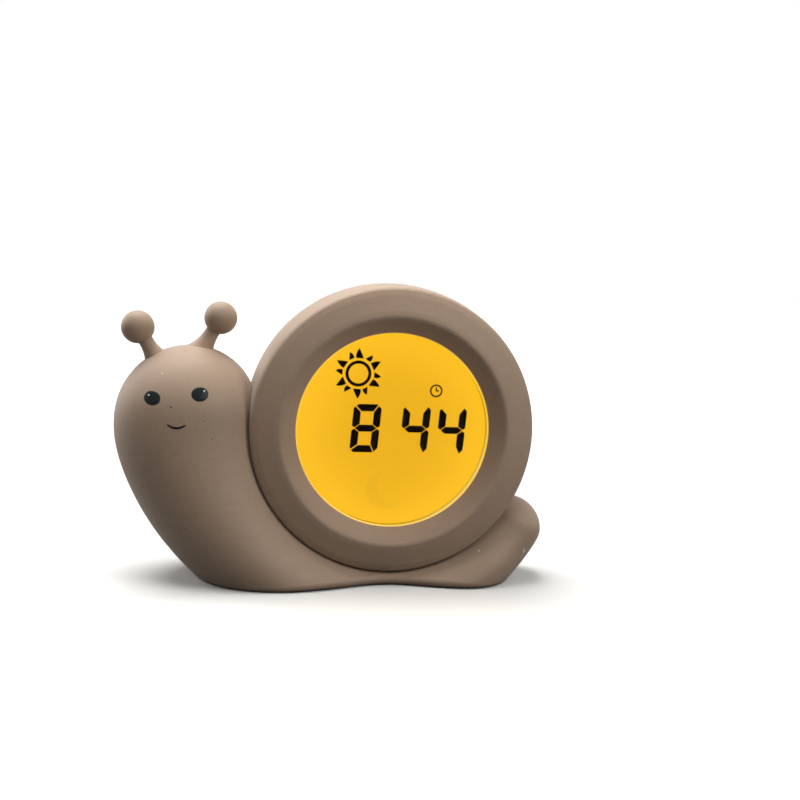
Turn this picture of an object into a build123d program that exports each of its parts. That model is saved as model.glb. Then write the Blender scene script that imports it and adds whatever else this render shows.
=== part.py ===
from build123d import *
import math
import os

# Children's alarm clock with night light, in the form of a snail. Millimetres.
# +X runs from head to tail, the clock faces -Y and +Z is up. The origin lies on the table,
# below the drum's axis, in the parting plane of the housings.

# drum, the snail's shell
drum_radius = 60.3          # at the parting plane
drum_clearance = 4.8        # table to the drum's lowest point
rim_taper = 1.2             # the barrel narrows by this towards its front edge
rim_depth = 20.2            # parting plane to front edge
face_width = 11.9           # front edge to the crest round the display
funnel_width = 6.9          # crest to the display opening
ridge_depth = 24.2
opening_depth = 17.6
back_taper = 2.3            # the barrel narrows by this towards the rear face
back_depth = 23.5           # parting plane to rear face
back_round = 5.0
shell_wall = 2.3
lip_thickness = 1.5
ridge_round = 1.6
rim_round = 1.8

# display stack, each thickness along Y
window_step = 1.3
window_edge = 0.5
window_flange = 1.4
window_play = 0.15
flange_lap = 3.1            # window beyond the opening
stack_lap = 2.9             # glasses beyond the window
glass_thickness = 1.1
diffuser_thickness = 0.5
guide_thickness = 3.0
reflector_thickness = 0.3
contact_ledge = 4.8         # front glass beyond the straight lower edge of the rear glass
guide_inset = 3.3           # glasses beyond the flats that the light strips face
strip_board = 0.6
lamp_depth = 1.0
lamp_pitch = 6.2
lamp_size = 2.6
lamps_per_strip = 4
tray_wall = 1.5
tray_play = 0.25
ear_offset = 3.3            # ear centres beyond the tray's rim
ear_size = 3.2
ear_angles = (60, 120, 240, 300)

# circuit boards
board_thickness = 1.6
main_board_top = 26.0       # above the drum axis
main_board_depth = 3.2      # rear face, in front of the parting plane
board_clearance = 3.0       # board corners to the barrel wall
board_post_radius = 2.5
main_post_inset = 5.0       # from the board's sides
main_post_z = 20.0
connector_width = 22.0
connector_thickness = 2.4
connector_margin = 1.8      # connector to the board's lower edge
board_corner = 3.0
board_chips = (            # place from the drum axis, width and height, thickness
    ((0, 4), (12, 12), 1.4),
    ((-14, 8), (8, 5), 1.2),
    ((13, -12), (6, 10), 1.8),
    ((-12, -14), (7, 4), 2.4),
    ((16, 12), (5, 5), 2.2),
)
ribbon_inset = 0.1
ribbon_width = 8.0
ribbon_height = 23.5
ribbon_bow = 1.6
ribbon_thickness = 0.4

# fasteners
screw_diameter = 3.0
screw_head_diameter = 5.4
screw_head_height = 1.8
screw_play = 0.15
thread_play = 0.05
boss_radius = 4.0
boss_gap = 0.4              # display tray to the bosses of the shell screws
shell_screw_angles = (20, 160, 215, 325)
shell_screw_head = 12.0     # seat of the head, behind the parting plane
shell_screw_length = 22.0
small_screw_diameter = 2.2
small_head_diameter = 4.0
small_head_height = 1.3
small_screw_length = 5.0

# battery bay
cell_diameter = 10.5
cell_length = 44.5
cell_count = 3
cell_gap = 0.5
cell_clearance = 1.1        # between a cell and floor and door together
spring_room = 6.9
bay_top = -4.0              # from the drum axis
bay_wall = 1.4
rib_height = 2.6
rib_width = 1.2
rib_x = 14.0
door_thickness = 2.1
door_ledge = 1.2
door_play = 0.3
door_tab_width = 8.0
door_tab_x = 15.0
door_tab_reach = 2.0
door_tab_thickness = 1.4
door_ear_rise = 3.8         # ear centre beyond the door's top edge
door_ear_radius = 4.4
door_screw_radius = 1.3
door_screw_play = 0.45
door_screw_grip = 3.0
spring_radius = 3.4
spring_wire = 0.35
spring_turns = 3
spring_plate = 0.4
spring_gap = 0.05
plate_thickness = 0.6
plate_size = 9.0
cell_nub_radius = 1.9
cell_nub_length = 0.8
door_tab_gap = 0.1
door_grooves = 5
door_groove_pitch = 2.0
door_groove_length = 16.0
door_groove_width = 0.9
door_groove_depth = 0.4

# rear controls
button_count = 5
button_pitch = 13.0
button_ear_gap = 1.9        # button flanges to the door's ear
button_radius = 4.0
button_play = 0.2
button_proud = 1.1
button_flange_radius = 5.2
button_flange_thickness = 1.2
button_stem_radius = 1.5
button_stem_length = 1.9
button_gap = 0.1            # flange to rear wall
button_travel = 0.6
button_edge = 0.9
button_names = ("down", "light", "time", "alarm", "up")
switch_size = 6.0
switch_height = 3.4
plunger_radius = 1.6
plunger_length = 2.0
button_board_half_width = 40.5
button_board_drop = 6.0     # lower edge below the buttons' centres
button_board_rise = 17.5    # upper edge above them
outer_post_inset = (3.5, 6.5)   # from the board's lower corners
inner_post_inset = (21.0, 7.5)  # from its upper corners
slider_x = -33.0
slider_rise = 12.5          # above the buttons' centres
slider_travel = 4.0
slider_width = 3.6
slider_thickness = 2.4
slider_play = 0.25
slider_proud = 1.0
slider_foot = 1.6
slide_body_length = 12.0
slide_body_width = 5.6
inlet_x = 33.0
inlet_rise = 12.5           # above the buttons' centres
inlet_width = 9.0
inlet_thickness = 3.2
inlet_play = 0.3
inlet_skin = 0.35
inlet_recess = 0.4
inlet_pocket = 5.5
inlet_tongue_width = 6.6
inlet_tongue_thickness = 0.7

# speaker
speaker_gap = 1.55          # speaker collar to the button flanges
speaker_rim = 1.6
speaker_gasket_thickness = 0.6
cone_cap = 1.0
cone_cap_radius = 4.0
cone_thickness = 0.3
speaker_radius = 13.0
speaker_flange = 1.2
speaker_depth = 5.0
magnet_radius = 8.0
magnet_length = 4.0
grille_hole = 1.9
grille_pitch = 4.0
grille_rings = 2

# snail body
body_wall = 2.3
base_reveal = 0.5           # the pad stands this far below the body
base_round = 2.0
pad_thickness = 1.8
pad_inset = 5.0
pad_play = 0.2
pad_edge = 0.5
floor_wall = 1.9
saddle_play = 0.2
saddle_wall = 2.2
body_screw_head = 9.0
body_screw_length = 18.0
body_boss_radius = 4.2
head_boss = (-2.3, 0.2)     # from the head's middle
chest_boss_angle = 207
chest_boss_reach = 30.3     # from the drum's wall
lug_angles = (222, 315)
lug_reach = 11.2            # screw centre from the drum's wall
lug_thickness = 3.0
lug_half_width = 5.0
lug_play = 0.25

# sections of the snail body at even angles about the drum axis, from tail to head:
# reach beyond the drum's wall, half depth along Y
body_start = 323
body_step = 13
body_sections = (
    (23.9, 19.1),
    (25.2, 25.1),
    (27.6, 28.6),
    (29.6, 30.7),
    (32.1, 31.4),
    (34.5, 32.2),
    (37.3, 33.0),
    (39.5, 33.1),
    (42.3, 32.7),
    (46.3, 32.2),
    (50.9, 31.1),
    (53.9, 29.7),
)
saddle_share = 0.11         # of that reach, how far each section runs on inside the wall
tail_length = 12.2          # rounding past the first section
head_length = 32.0          # rounding past the last section
cap_steps = (90, 72, 54, 36, 18)
section_points = 12

# antennae
antenna_ball_radius = 6.8
antenna_neck_radius = 3.0
antenna_skirt_radius = 4.8
antenna_skirt_spread = 6.8
antenna_skirt_drop = 2.8
antenna_flare = 0.9         # slope of the skirt's foot
antenna_stem_radius = 2.2
antenna_flange_radius = 3.8
antenna_flange_thickness = 1.4
antenna_play = 0.1
antenna_wall_reach = 4.0    # from the head's surface to the flange behind its wall
antenna_rise = 2.0          # of the stem's seat above the base point
antenna_places = {          # foot of the stalk and centre of the ball, from the head's
    # middle and from head_length above the drum axis
    "antenna_left": ((-13.5, -5.7), (-20.8, 6.4)),
    "antenna_right": ((5.7, -1.4), (12.8, 11.3)),
}

# derived sizes of drum and display
drum_height = drum_radius + drum_clearance
rim_radius = drum_radius - rim_taper
ridge_radius = rim_radius - face_width
opening_radius = ridge_radius - funnel_width
back_radius = drum_radius - back_taper
inner_back = back_depth - shell_wall
flange_radius = opening_radius + flange_lap
stack_radius = flange_radius + stack_lap
contact_chord = stack_radius - contact_ledge
guide_flat = stack_radius - guide_inset
tray_radius = stack_radius + tray_play + tray_wall
shell_screw_radius = tray_radius + boss_gap + boss_radius
ear_radius = tray_radius + ear_offset
drum_axis = Axis((0, 0, drum_height), (0, 1, 0))
drum_plane = Plane.XY.offset(drum_height)

# derived levels of the display stack along Y, front negative
seat_level = -opening_depth + lip_thickness
window_level = seat_level + window_flange
front_glass_level = window_level + glass_thickness
rear_glass_level = front_glass_level + glass_thickness
diffuser_level = rear_glass_level + diffuser_thickness
guide_level = diffuser_level + guide_thickness
reflector_level = guide_level + reflector_thickness
tray_level = reflector_level + tray_wall

# derived places of the boards and rear controls, heights above the drum axis
door_top = bay_top + door_ledge
door_ear_height = door_top + door_ear_rise
button_height = door_ear_height + door_ear_radius + button_ear_gap + button_flange_radius
button_board_low = button_height - button_board_drop
button_board_high = button_height + button_board_rise
slider_height = button_height + slider_rise
inlet_height = button_height + inlet_rise
speaker_collar = speaker_radius + tray_play + tray_wall
speaker_height = button_height + button_flange_radius + speaker_gap + speaker_collar
main_board_front = -main_board_depth - board_thickness
connector_height = contact_chord + tray_play + connector_thickness / 2
main_board_bottom = connector_height + connector_thickness / 2 + connector_margin
board_reach = drum_radius - shell_wall - board_clearance
main_board_half_width = math.sqrt(board_reach**2 - main_board_bottom**2)
main_post_x = main_board_half_width - main_post_inset
board_corners = [(x, z) for x in (-main_post_x, main_post_x) for z in (-main_post_z, main_post_z)]
flange_top = inner_back - button_gap
plunger_top = flange_top - button_flange_thickness - button_stem_length
switch_top = plunger_top - button_travel
button_board_depth = switch_top - switch_height
button_board_front = button_board_depth - board_thickness
outer_post = (button_board_half_width - outer_post_inset[0], button_board_low + outer_post_inset[1])
inner_post = (button_board_half_width - inner_post_inset[0], button_board_high - inner_post_inset[1])
board_posts = [(side * x, z) for side in (-1, 1) for x, z in (outer_post, inner_post)]
button_places = [(k - (button_count - 1) / 2) * button_pitch for k in range(button_count)]
ribbon_x = ribbon_inset - main_board_half_width
speaker_plane = Plane.XY.offset(drum_height + speaker_height)
speaker_axis = Axis((0, 0, drum_height + speaker_height), (0, 1, 0))
speaker_face = inner_back - speaker_gasket_thickness

# derived places in the battery bay
door_inner = back_depth - door_thickness
bay_floor = door_inner - cell_clearance - cell_diameter
cell_depth = bay_floor + cell_diameter / 2
cell_pitch = cell_diameter + cell_gap
bay_bottom = bay_top - cell_count * cell_pitch - 2 * cell_gap
cell_heights = [bay_bottom + cell_gap + cell_pitch / 2 + k * cell_pitch for k in range(cell_count)]
rib_places = [(x, z + cell_pitch / 2) for x in (-rib_x, rib_x) for z in cell_heights[:-1]]
bay_half_width = (plate_thickness + cell_length + spring_room) / 2
bay_outer_half = bay_half_width + bay_wall
bay_outer_top = bay_top + bay_wall
bay_outer_bottom = bay_bottom - door_tab_reach - door_play - bay_wall
door_half_width = bay_half_width + door_ledge
tab_pocket_depth = 2 * door_tab_thickness + door_play
cell_start = bay_half_width - plate_thickness - cell_length
coil_start = spring_plate + spring_wire / 2 - bay_half_width
coil_length = cell_start - spring_gap - spring_wire - coil_start

# derived places of the snail body, head and lugs
body_outline = [
    (
        body_start - k * body_step,
        drum_radius - saddle_share * reach,
        drum_radius + reach,
        depth,
    )
    for k, (reach, depth) in enumerate(body_sections)
]
head_middle = (body_outline[-1][1] + body_outline[-1][2]) / 2
antennae = {
    name: [(x - head_middle, z + drum_height + head_length) for x, z in places]
    for name, places in antenna_places.items()
}
floor_top = pad_thickness + floor_wall
lug_radius = drum_radius + lug_reach
lug_root = drum_radius - shell_wall / 2
os.makedirs("parts", exist_ok=True)


def level(y):
    """Plane across the drum at depth y: local x is X, local y is height above the drum axis."""
    return Plane(origin=(0, y, drum_height), x_dir=(1, 0, 0), z_dir=(0, -1, 0))


def table_level(y):
    """Plane across the clock at depth y: local x is X, local y is height above the table."""
    return Plane(origin=(0, y, 0), x_dir=(1, 0, 0), z_dir=(0, -1, 0))


def polar(radius, angle):
    return (radius * math.cos(math.radians(angle)), radius * math.sin(math.radians(angle)))


def save(piece, name):
    piece.part.label = name
    export_step(piece.part, f"parts/{name}.step")


def barrel_half(radius_change, end_radius, end_depth):
    """Solid half of the drum's barrel, grown by radius_change, and straight past end_depth."""
    side = math.copysign(1, end_depth)
    far = side * drum_radius
    with BuildPart() as half:
        with BuildSketch(drum_plane):
            with BuildLine():
                wall = TangentArc(
                    (drum_radius + radius_change, 0),
                    (end_radius + radius_change, end_depth),
                    tangent=(0, side),
                )
                Polyline(
                    wall @ 1,
                    (end_radius + radius_change, far),
                    (0, far),
                    (0, 0),
                    wall @ 0,
                )
            make_face()
        revolve(axis=drum_axis)
    return half.part


def drum_form(grown):
    return barrel_half(grown, rim_radius, -rim_depth) + barrel_half(grown, back_radius, back_depth)


# ---- snail body ----

def body_station(angle, middle, reach, depth):
    """One closed section of the body, a smooth oval in the radial plane at this angle."""
    x, z = polar(middle, angle)
    outward = Vector(*polar(1, angle)[:1], 0, polar(1, angle)[1])
    plane = Plane(origin=(x, 0, drum_height + z), x_dir=outward, z_dir=outward.cross(Vector(0, 1, 0)))
    steps = [360 * k / section_points for k in range(section_points)]
    with BuildSketch(plane) as oval:
        with BuildLine():
            Spline(
                [(reach * math.cos(math.radians(t)), depth * math.sin(math.radians(t))) for t in steps],
                periodic=True,
            )
        make_face()
    return oval.sketch.face()


def body_cap(section, length, side, inset):
    """Stations that round off one end of the body, from its tip back to the end section."""
    angle, inner, outer, depth = section
    middle = (inner + outer) / 2
    reach = (outer - inner) / 2 - inset
    stations = []
    for step in cap_steps:
        ahead = (length - inset) * math.sin(math.radians(step))
        shrink = math.cos(math.radians(step))
        place = angle + side * math.degrees(math.asin(ahead / middle))
        radius = math.sqrt(middle**2 - ahead**2)
        if step == 90:
            x, z = polar(radius, place)
            stations.append(Vertex(x, 0, drum_height + z))
        else:
            stations.append(body_station(place, radius, reach * shrink, (depth - inset) * shrink))
    return stations


def body_form(inset, floor):
    """The snail's body as one solid, its surface moved in by inset and cut off at floor."""
    stations = body_cap(body_outline[0], tail_length, 1, inset)
    for angle, inner, outer, depth in body_outline:
        stations.append(
            body_station(angle, (inner + outer) / 2, (outer - inner) / 2 - inset, depth - inset)
        )
    stations += reversed(body_cap(body_outline[-1], head_length, -1, inset))
    with BuildPart() as form:
        loft(stations)
        split(bisect_by=Plane.XY.offset(floor))
    return form.part


outer_form = body_form(0, base_reveal)


# ---- antennae ----

def antenna_plane(base, ball):
    """Plane of the antenna's profile: local y runs up the stalk from its base on the head."""
    up = Vector(ball[0] - base[0], 0, ball[1] - base[1]).normalized()
    side = up.cross(Vector(0, 1, 0))
    return Plane(origin=(base[0], 0, base[1]), x_dir=side, z_dir=side.cross(up))


def antenna_axis(base, ball):
    return Axis((base[0], 0, base[1]), (ball[0] - base[0], 0, ball[1] - base[1]))


def stem_outline(grown):
    """Corners of the half outline of stem and flange inside the head, grown all round."""
    stem = antenna_stem_radius + grown
    flange = antenna_flange_radius + grown
    flange_top = -antenna_wall_reach + grown
    flange_low = -antenna_wall_reach - antenna_flange_thickness - grown
    return (
        (0, antenna_rise),
        (stem, antenna_rise),
        (stem, flange_top),
        (flange, flange_top),
        (flange, flange_low),
        (0, flange_low),
    )


def foot_print(inset):
    """The body's outline on the table, moved in by inset."""
    return body_form(inset, 0).faces().sort_by(Axis.Z)[0]


with BuildPart() as base_pad:
    with BuildSketch(Plane.XY):
        add(foot_print(pad_inset))
    extrude(amount=pad_thickness)
    fillet(base_pad.faces().sort_by(Axis.Z)[0].edges(), pad_edge)
save(base_pad, "base_pad")


def lug_bars(grown, far_side):
    """The drum's fixing lugs, grown all round, from the parting plane back to far_side."""
    with BuildPart() as bars:
        for angle in lug_angles:
            with BuildSketch(level(far_side)):
                with Locations(polar((lug_root + lug_radius) / 2, angle)):
                    Rectangle(lug_radius - lug_root, 2 * (lug_half_width + grown), rotation=angle)
                with Locations(polar(lug_radius, angle)):
                    Circle(lug_half_width + grown)
            extrude(amount=far_side)
    return bars.part


chest_boss = polar(drum_radius + chest_boss_reach, chest_boss_angle)
lug_places = [polar(lug_radius, angle) for angle in lug_angles]
screw_places = [(head_boss[0] - head_middle, head_boss[1] + drum_height)]
screw_places += [(x, drum_height + z) for x, z in (chest_boss, *lug_places)]

with BuildPart() as body_space:
    add(body_form(body_wall, floor_top))
    add(drum_form(saddle_play + saddle_wall), mode=Mode.SUBTRACT)
    with BuildSketch(table_level(drum_radius)):
        with Locations(*screw_places):
            Circle(body_boss_radius)
    extrude(amount=2 * drum_radius, mode=Mode.SUBTRACT)

with BuildPart() as body_blank:
    add(outer_form)
    fillet(body_blank.faces().sort_by(Axis.Z)[0].edges(), base_round)
    add(body_space.part, mode=Mode.SUBTRACT)
    add(drum_form(saddle_play), mode=Mode.SUBTRACT)
    with BuildSketch(Plane.XY):
        add(foot_print(pad_inset - pad_play))
    extrude(amount=pad_thickness, mode=Mode.SUBTRACT)

with BuildPart() as antenna_seats:
    for base, ball in antennae.values():
        with BuildSketch(antenna_plane(base, ball)):
            with BuildLine():
                Polyline(*stem_outline(antenna_play), close=True)
            make_face()
        revolve(axis=antenna_axis(base, ball))

for name, (base, ball) in antennae.items():
    reach = math.dist(base, ball)
    neck_foot = reach - antenna_ball_radius
    with BuildPart() as antenna:
        with BuildSketch(antenna_plane(base, ball)):
            with BuildLine():
                Polyline(
                    (0, reach),
                    (antenna_neck_radius, reach),
                    (antenna_neck_radius, neck_foot),
                )
                Spline(
                    (antenna_neck_radius, neck_foot),
                    (antenna_skirt_radius, 0),
                    (antenna_skirt_spread, -antenna_skirt_drop),
                    tangents=((0, -1), (1, -antenna_flare)),
                )
                Polyline(
                    (antenna_skirt_spread, -antenna_skirt_drop),
                    (0, -antenna_skirt_drop),
                    (0, reach),
                )
            make_face()
        revolve(axis=antenna_axis(base, ball))
        with Locations((ball[0], 0, ball[1])):
            Sphere(antenna_ball_radius)
        add(outer_form, mode=Mode.SUBTRACT)
        with BuildSketch(antenna_plane(base, ball)):
            with BuildLine():
                Polyline(*stem_outline(0), close=True)
            make_face()
        revolve(axis=antenna_axis(base, ball))
    save(antenna, name)


def screw_bores(places, head_level, head_radius, bore_radius, far_level):
    """Clearance bores along Y with a counterbore that opens towards +Y from head_level."""
    with BuildPart() as bores:
        with BuildSketch(table_level(head_level)):
            with Locations(*places):
                Circle(bore_radius)
        extrude(amount=head_level - far_level)
        with BuildSketch(table_level(drum_radius)):
            with Locations(*places):
                Circle(head_radius)
        extrude(amount=drum_radius - head_level)
    return bores.part


body_bores = screw_bores(
    screw_places,
    body_screw_head,
    screw_head_diameter / 2 + screw_play,
    screw_diameter / 2 + thread_play,
    body_screw_head - body_screw_length - 1,
)

with BuildPart() as body_front:
    add(body_blank.part)
    split(bisect_by=Plane.XZ, keep=Keep.TOP)
    add(antenna_seats.part, mode=Mode.SUBTRACT)
    add(body_bores, mode=Mode.SUBTRACT)
save(body_front, "body_front")

with BuildPart() as body_rear:
    add(body_blank.part)
    split(bisect_by=Plane.XZ, keep=Keep.BOTTOM)
    add(antenna_seats.part, mode=Mode.SUBTRACT)
    add(body_bores, mode=Mode.SUBTRACT)
    add(lug_bars(lug_play, lug_thickness + lug_play), mode=Mode.SUBTRACT)
save(body_rear, "body_rear")


# ---- drum housings ----

with BuildPart() as ring_form:
    with BuildSketch(drum_plane):
        with BuildLine():
            barrel = TangentArc((drum_radius, 0), (rim_radius, -rim_depth), tangent=(0, -1))
            Polyline(
                barrel @ 1,
                (ridge_radius, -ridge_depth),
                (opening_radius, -opening_depth),
                (opening_radius, 0),
                barrel @ 0,
            )
        make_face()
    revolve(axis=drum_axis)
    circles = ring_form.edges().filter_by(GeomType.CIRCLE)
    fillet(circles.sort_by(Axis.Y)[0], ridge_round)
    circles = ring_form.edges().filter_by(GeomType.CIRCLE)
    front_circles = circles.filter_by_position(Axis.Y, -ridge_depth, -rim_depth + rim_round)
    fillet(front_circles.sort_by(SortBy.RADIUS)[-1], rim_round)

groove_depth = ridge_depth - shell_wall
groove_radius = ridge_radius + shell_wall / 2
with BuildPart() as ring_space:
    with BuildSketch(drum_plane):
        with BuildLine():
            inner_wall = TangentArc(
                (drum_radius - shell_wall, 0),
                (rim_radius - shell_wall, -rim_depth + shell_wall),
                tangent=(0, -1),
            )
            Polyline(
                inner_wall @ 1,
                (groove_radius, -groove_depth),
                (flange_radius + window_play, seat_level - shell_wall),
                (flange_radius + window_play, seat_level),
                (0, seat_level),
                (0, 0),
                inner_wall @ 0,
            )
        make_face()
    revolve(axis=drum_axis)
    with BuildSketch(level(0)):
        with Locations(*[polar(shell_screw_radius, angle) for angle in shell_screw_angles]):
            Circle(boss_radius)
    extrude(amount=drum_radius, mode=Mode.SUBTRACT)
    with BuildSketch(level(reflector_level)):
        with Locations(*[polar(ear_radius, angle) for angle in ear_angles]):
            Circle(ear_size)
    extrude(amount=drum_radius, mode=Mode.SUBTRACT)

shell_bores = screw_bores(
    [(x, drum_height + z) for x, z in (polar(shell_screw_radius, a) for a in shell_screw_angles)],
    shell_screw_head,
    screw_head_diameter / 2 + screw_play,
    screw_diameter / 2 + thread_play,
    shell_screw_head - shell_screw_length - 1,
)
ear_bores = screw_bores(
    [(x, drum_height + z) for x, z in (polar(ear_radius, a) for a in ear_angles)],
    tray_level,
    small_head_diameter / 2 + screw_play,
    small_screw_diameter / 2 + thread_play,
    tray_level - small_screw_length - 1,
)

with BuildPart() as shell_ring:
    add(ring_form.part)
    add(ring_space.part, mode=Mode.SUBTRACT)
    add(shell_bores, mode=Mode.SUBTRACT)
    add(ear_bores, mode=Mode.SUBTRACT)
save(shell_ring, "shell_ring")

with BuildPart() as back_form:
    with BuildSketch(drum_plane):
        with BuildLine():
            barrel = TangentArc((drum_radius, 0), (back_radius, back_depth), tangent=(0, 1))
            Polyline(barrel @ 1, (0, back_depth), (0, 0), barrel @ 0)
        make_face()
    revolve(axis=drum_axis)
    fillet(back_form.edges().filter_by(GeomType.CIRCLE).sort_by(Axis.Y)[-1], back_round)

with BuildPart() as back_space:
    with BuildSketch(drum_plane):
        with BuildLine():
            barrel = TangentArc(
                (drum_radius - shell_wall, 0), (back_radius - shell_wall, inner_back), tangent=(0, 1)
            )
            Polyline(barrel @ 1, (0, inner_back), (0, 0), barrel @ 0)
        make_face()
    revolve(axis=drum_axis)
    fillet(back_space.edges().filter_by(GeomType.CIRCLE).sort_by(Axis.Y)[-1], back_round - shell_wall)
    # screw bosses, speaker collar and board posts stand in the space
    with BuildSketch(level(drum_radius)):
        with Locations(*[polar(shell_screw_radius, angle) for angle in shell_screw_angles]):
            Circle(boss_radius)
    extrude(amount=drum_radius, mode=Mode.SUBTRACT)
    with BuildSketch(level(drum_radius)):
        with Locations(*board_posts):
            Circle(board_post_radius)
    extrude(amount=drum_radius - button_board_depth, mode=Mode.SUBTRACT)
    with BuildSketch(level(drum_radius)):
        with Locations((0, speaker_height)):
            Circle(speaker_collar)
            Circle(speaker_radius + tray_play, mode=Mode.SUBTRACT)
    extrude(amount=drum_radius - inner_back + speaker_flange, mode=Mode.SUBTRACT)
    # battery bay walls with the boss for the door screw
    with BuildSketch(level(drum_radius)):
        with Locations((0, (bay_outer_top + bay_outer_bottom) / 2)):
            Rectangle(2 * bay_outer_half, bay_outer_top - bay_outer_bottom)
        with Locations((0, door_ear_height)):
            Circle(door_ear_radius)
    extrude(amount=drum_radius - bay_floor + bay_wall, mode=Mode.SUBTRACT)

with BuildPart() as shell_back:
    add(back_form.part)
    add(back_space.part, mode=Mode.SUBTRACT)
    add(lug_bars(0, lug_thickness))
    add(shell_bores, mode=Mode.SUBTRACT)
    add(body_bores, mode=Mode.SUBTRACT)
    # battery bay
    with BuildSketch(level(back_depth)):
        with Locations((0, (bay_top + bay_bottom) / 2)):
            Rectangle(2 * bay_half_width, bay_top - bay_bottom)
    extrude(amount=back_depth - bay_floor, mode=Mode.SUBTRACT)
    with BuildSketch(level(back_depth)):
        with Locations((0, (door_top + bay_bottom) / 2)):
            Rectangle(2 * door_half_width, door_top - bay_bottom)
        with Locations((0, door_ear_height)):
            Circle(door_ear_radius + door_play)
        with Locations((0, (door_ear_height + door_top) / 2)):
            Rectangle(2 * (door_ear_radius + door_play), door_ear_height - door_top)
    extrude(amount=shell_wall, mode=Mode.SUBTRACT)
    with BuildSketch(level(inner_back)):
        with Locations((door_tab_x, bay_bottom), (-door_tab_x, bay_bottom)):
            Rectangle(door_tab_width + 2 * door_play, 2 * (door_tab_reach + door_play))
    extrude(amount=tab_pocket_depth, mode=Mode.SUBTRACT)
    with BuildSketch(level(inner_back)):
        with Locations((0, door_ear_height)):
            Circle(door_screw_radius + door_screw_play)
    extrude(amount=door_screw_grip + door_play, mode=Mode.SUBTRACT)
    # push buttons, slider, inlet and speaker grille open through the rear wall
    with BuildSketch(level(drum_radius)):
        with Locations(*[(x, button_height) for x in button_places]):
            Circle(button_radius + button_play)
        with Locations((slider_x, slider_height)):
            SlotOverall(
                slider_travel + slider_width + 2 * slider_play + slider_thickness,
                slider_thickness + 2 * slider_play,
            )
        with Locations((inlet_x, inlet_height)):
            RectangleRounded(
                inlet_width + 2 * inlet_play, inlet_thickness + 2 * inlet_play, inlet_thickness / 2
            )
        with Locations((0, speaker_height)):
            Circle(grille_hole / 2)
        for ring in range(1, grille_rings + 1):
            with Locations((0, speaker_height)):
                with PolarLocations(ring * grille_pitch, 6 * ring):
                    Circle(grille_hole / 2)
    extrude(amount=drum_radius - inner_back, mode=Mode.SUBTRACT)
    # ribs between the cells
    with BuildSketch(level(bay_floor + rib_height)):
        with Locations(*rib_places):
            Rectangle(rib_width, cell_pitch - cell_diameter + rib_width)
    extrude(amount=rib_height)
    # pilot holes for the board screws
    with BuildSketch(level(button_board_depth + small_screw_length)):
        with Locations(*board_posts):
            Circle(small_screw_diameter / 2 + thread_play)
    extrude(amount=small_screw_length, mode=Mode.SUBTRACT)
save(shell_back, "shell_back")

# ---- display stack ----

with BuildPart() as display_window:
    with BuildSketch(level(window_level)):
        Circle(flange_radius)
    extrude(amount=window_flange)
    with BuildSketch(level(seat_level)):
        Circle(opening_radius - window_play)
    extrude(amount=window_step)
    fillet(display_window.edges().filter_by(GeomType.CIRCLE).sort_by(Axis.Y)[0], window_edge)
save(display_window, "display_window")

with BuildPart() as lcd_front_glass:
    with BuildSketch(level(front_glass_level)):
        Circle(stack_radius)
    extrude(amount=glass_thickness)
save(lcd_front_glass, "lcd_front_glass")


def stack_sheet(rear_level, thickness, side_cut):
    """Round sheet of the display stack with a straight lower edge and optional side flats."""
    with BuildPart() as sheet:
        with BuildSketch(level(rear_level)):
            Circle(stack_radius)
            with Locations((0, -contact_chord)):
                Rectangle(
                    2 * stack_radius, stack_radius, align=(Align.CENTER, Align.MAX), mode=Mode.SUBTRACT
                )
            if side_cut < stack_radius:
                Rectangle(2 * side_cut, 2 * stack_radius, mode=Mode.INTERSECT)
        extrude(amount=thickness)
    return sheet


lcd_rear_glass = stack_sheet(rear_glass_level, glass_thickness, stack_radius)
save(lcd_rear_glass, "lcd_rear_glass")
diffuser = stack_sheet(diffuser_level, diffuser_thickness, stack_radius)
save(diffuser, "diffuser")
light_guide = stack_sheet(guide_level, guide_thickness, guide_flat)
save(light_guide, "light_guide")
reflector = stack_sheet(reflector_level, reflector_thickness, guide_flat)
save(reflector, "reflector")

lamp_rows = [(k - (lamps_per_strip - 1) / 2) * lamp_pitch for k in range(lamps_per_strip)]
for name, side in (("light_strip_left", -1), ("light_strip_right", 1)):
    with BuildPart() as light_strip:
        with BuildSketch(level(guide_level)):
            with Locations((side * (guide_flat + lamp_depth + strip_board / 2), 0)):
                Rectangle(strip_board, lamps_per_strip * lamp_pitch)
            with Locations(*[(side * (guide_flat + lamp_depth / 2), z) for z in lamp_rows]):
                Rectangle(lamp_depth, lamp_size)
        extrude(amount=guide_thickness)
    save(light_strip, name)

with BuildPart() as display_tray:
    with BuildSketch(level(tray_level)):
        Circle(tray_radius)
        with Locations(*[polar(ear_radius, angle) for angle in ear_angles]):
            Circle(ear_size)
        for angle in ear_angles:
            with Locations(polar(ear_radius - ear_size, angle)):
                Rectangle(2 * ear_size, 2 * ear_size, rotation=angle)
    extrude(amount=tray_wall)
    with BuildSketch(level(reflector_level)):
        Circle(tray_radius)
        Circle(tray_radius - tray_wall, mode=Mode.SUBTRACT)
    extrude(amount=reflector_level - window_level)
    with BuildSketch(level(main_board_front)):
        with Locations(*board_corners):
            Circle(board_post_radius)
    extrude(amount=main_board_front - tray_level)
    with BuildSketch(level(tray_level)):
        with Locations((0, -connector_height)):
            Rectangle(connector_width + 2 * tray_play, connector_thickness + 2 * tray_play)
    extrude(amount=tray_wall, mode=Mode.SUBTRACT)
    add(ear_bores, mode=Mode.SUBTRACT)
    with BuildSketch(level(main_board_front)):
        with Locations(*board_corners):
            Circle(small_screw_diameter / 2 + thread_play)
    extrude(amount=main_board_front - reflector_level, mode=Mode.SUBTRACT)
save(display_tray, "display_tray")

with BuildPart() as zebra_strip:
    with BuildSketch(level(main_board_front)):
        with Locations((0, -connector_height)):
            Rectangle(connector_width, connector_thickness)
    extrude(amount=main_board_front - front_glass_level)
save(zebra_strip, "zebra_strip")

# ---- circuit boards and what they carry ----

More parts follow.
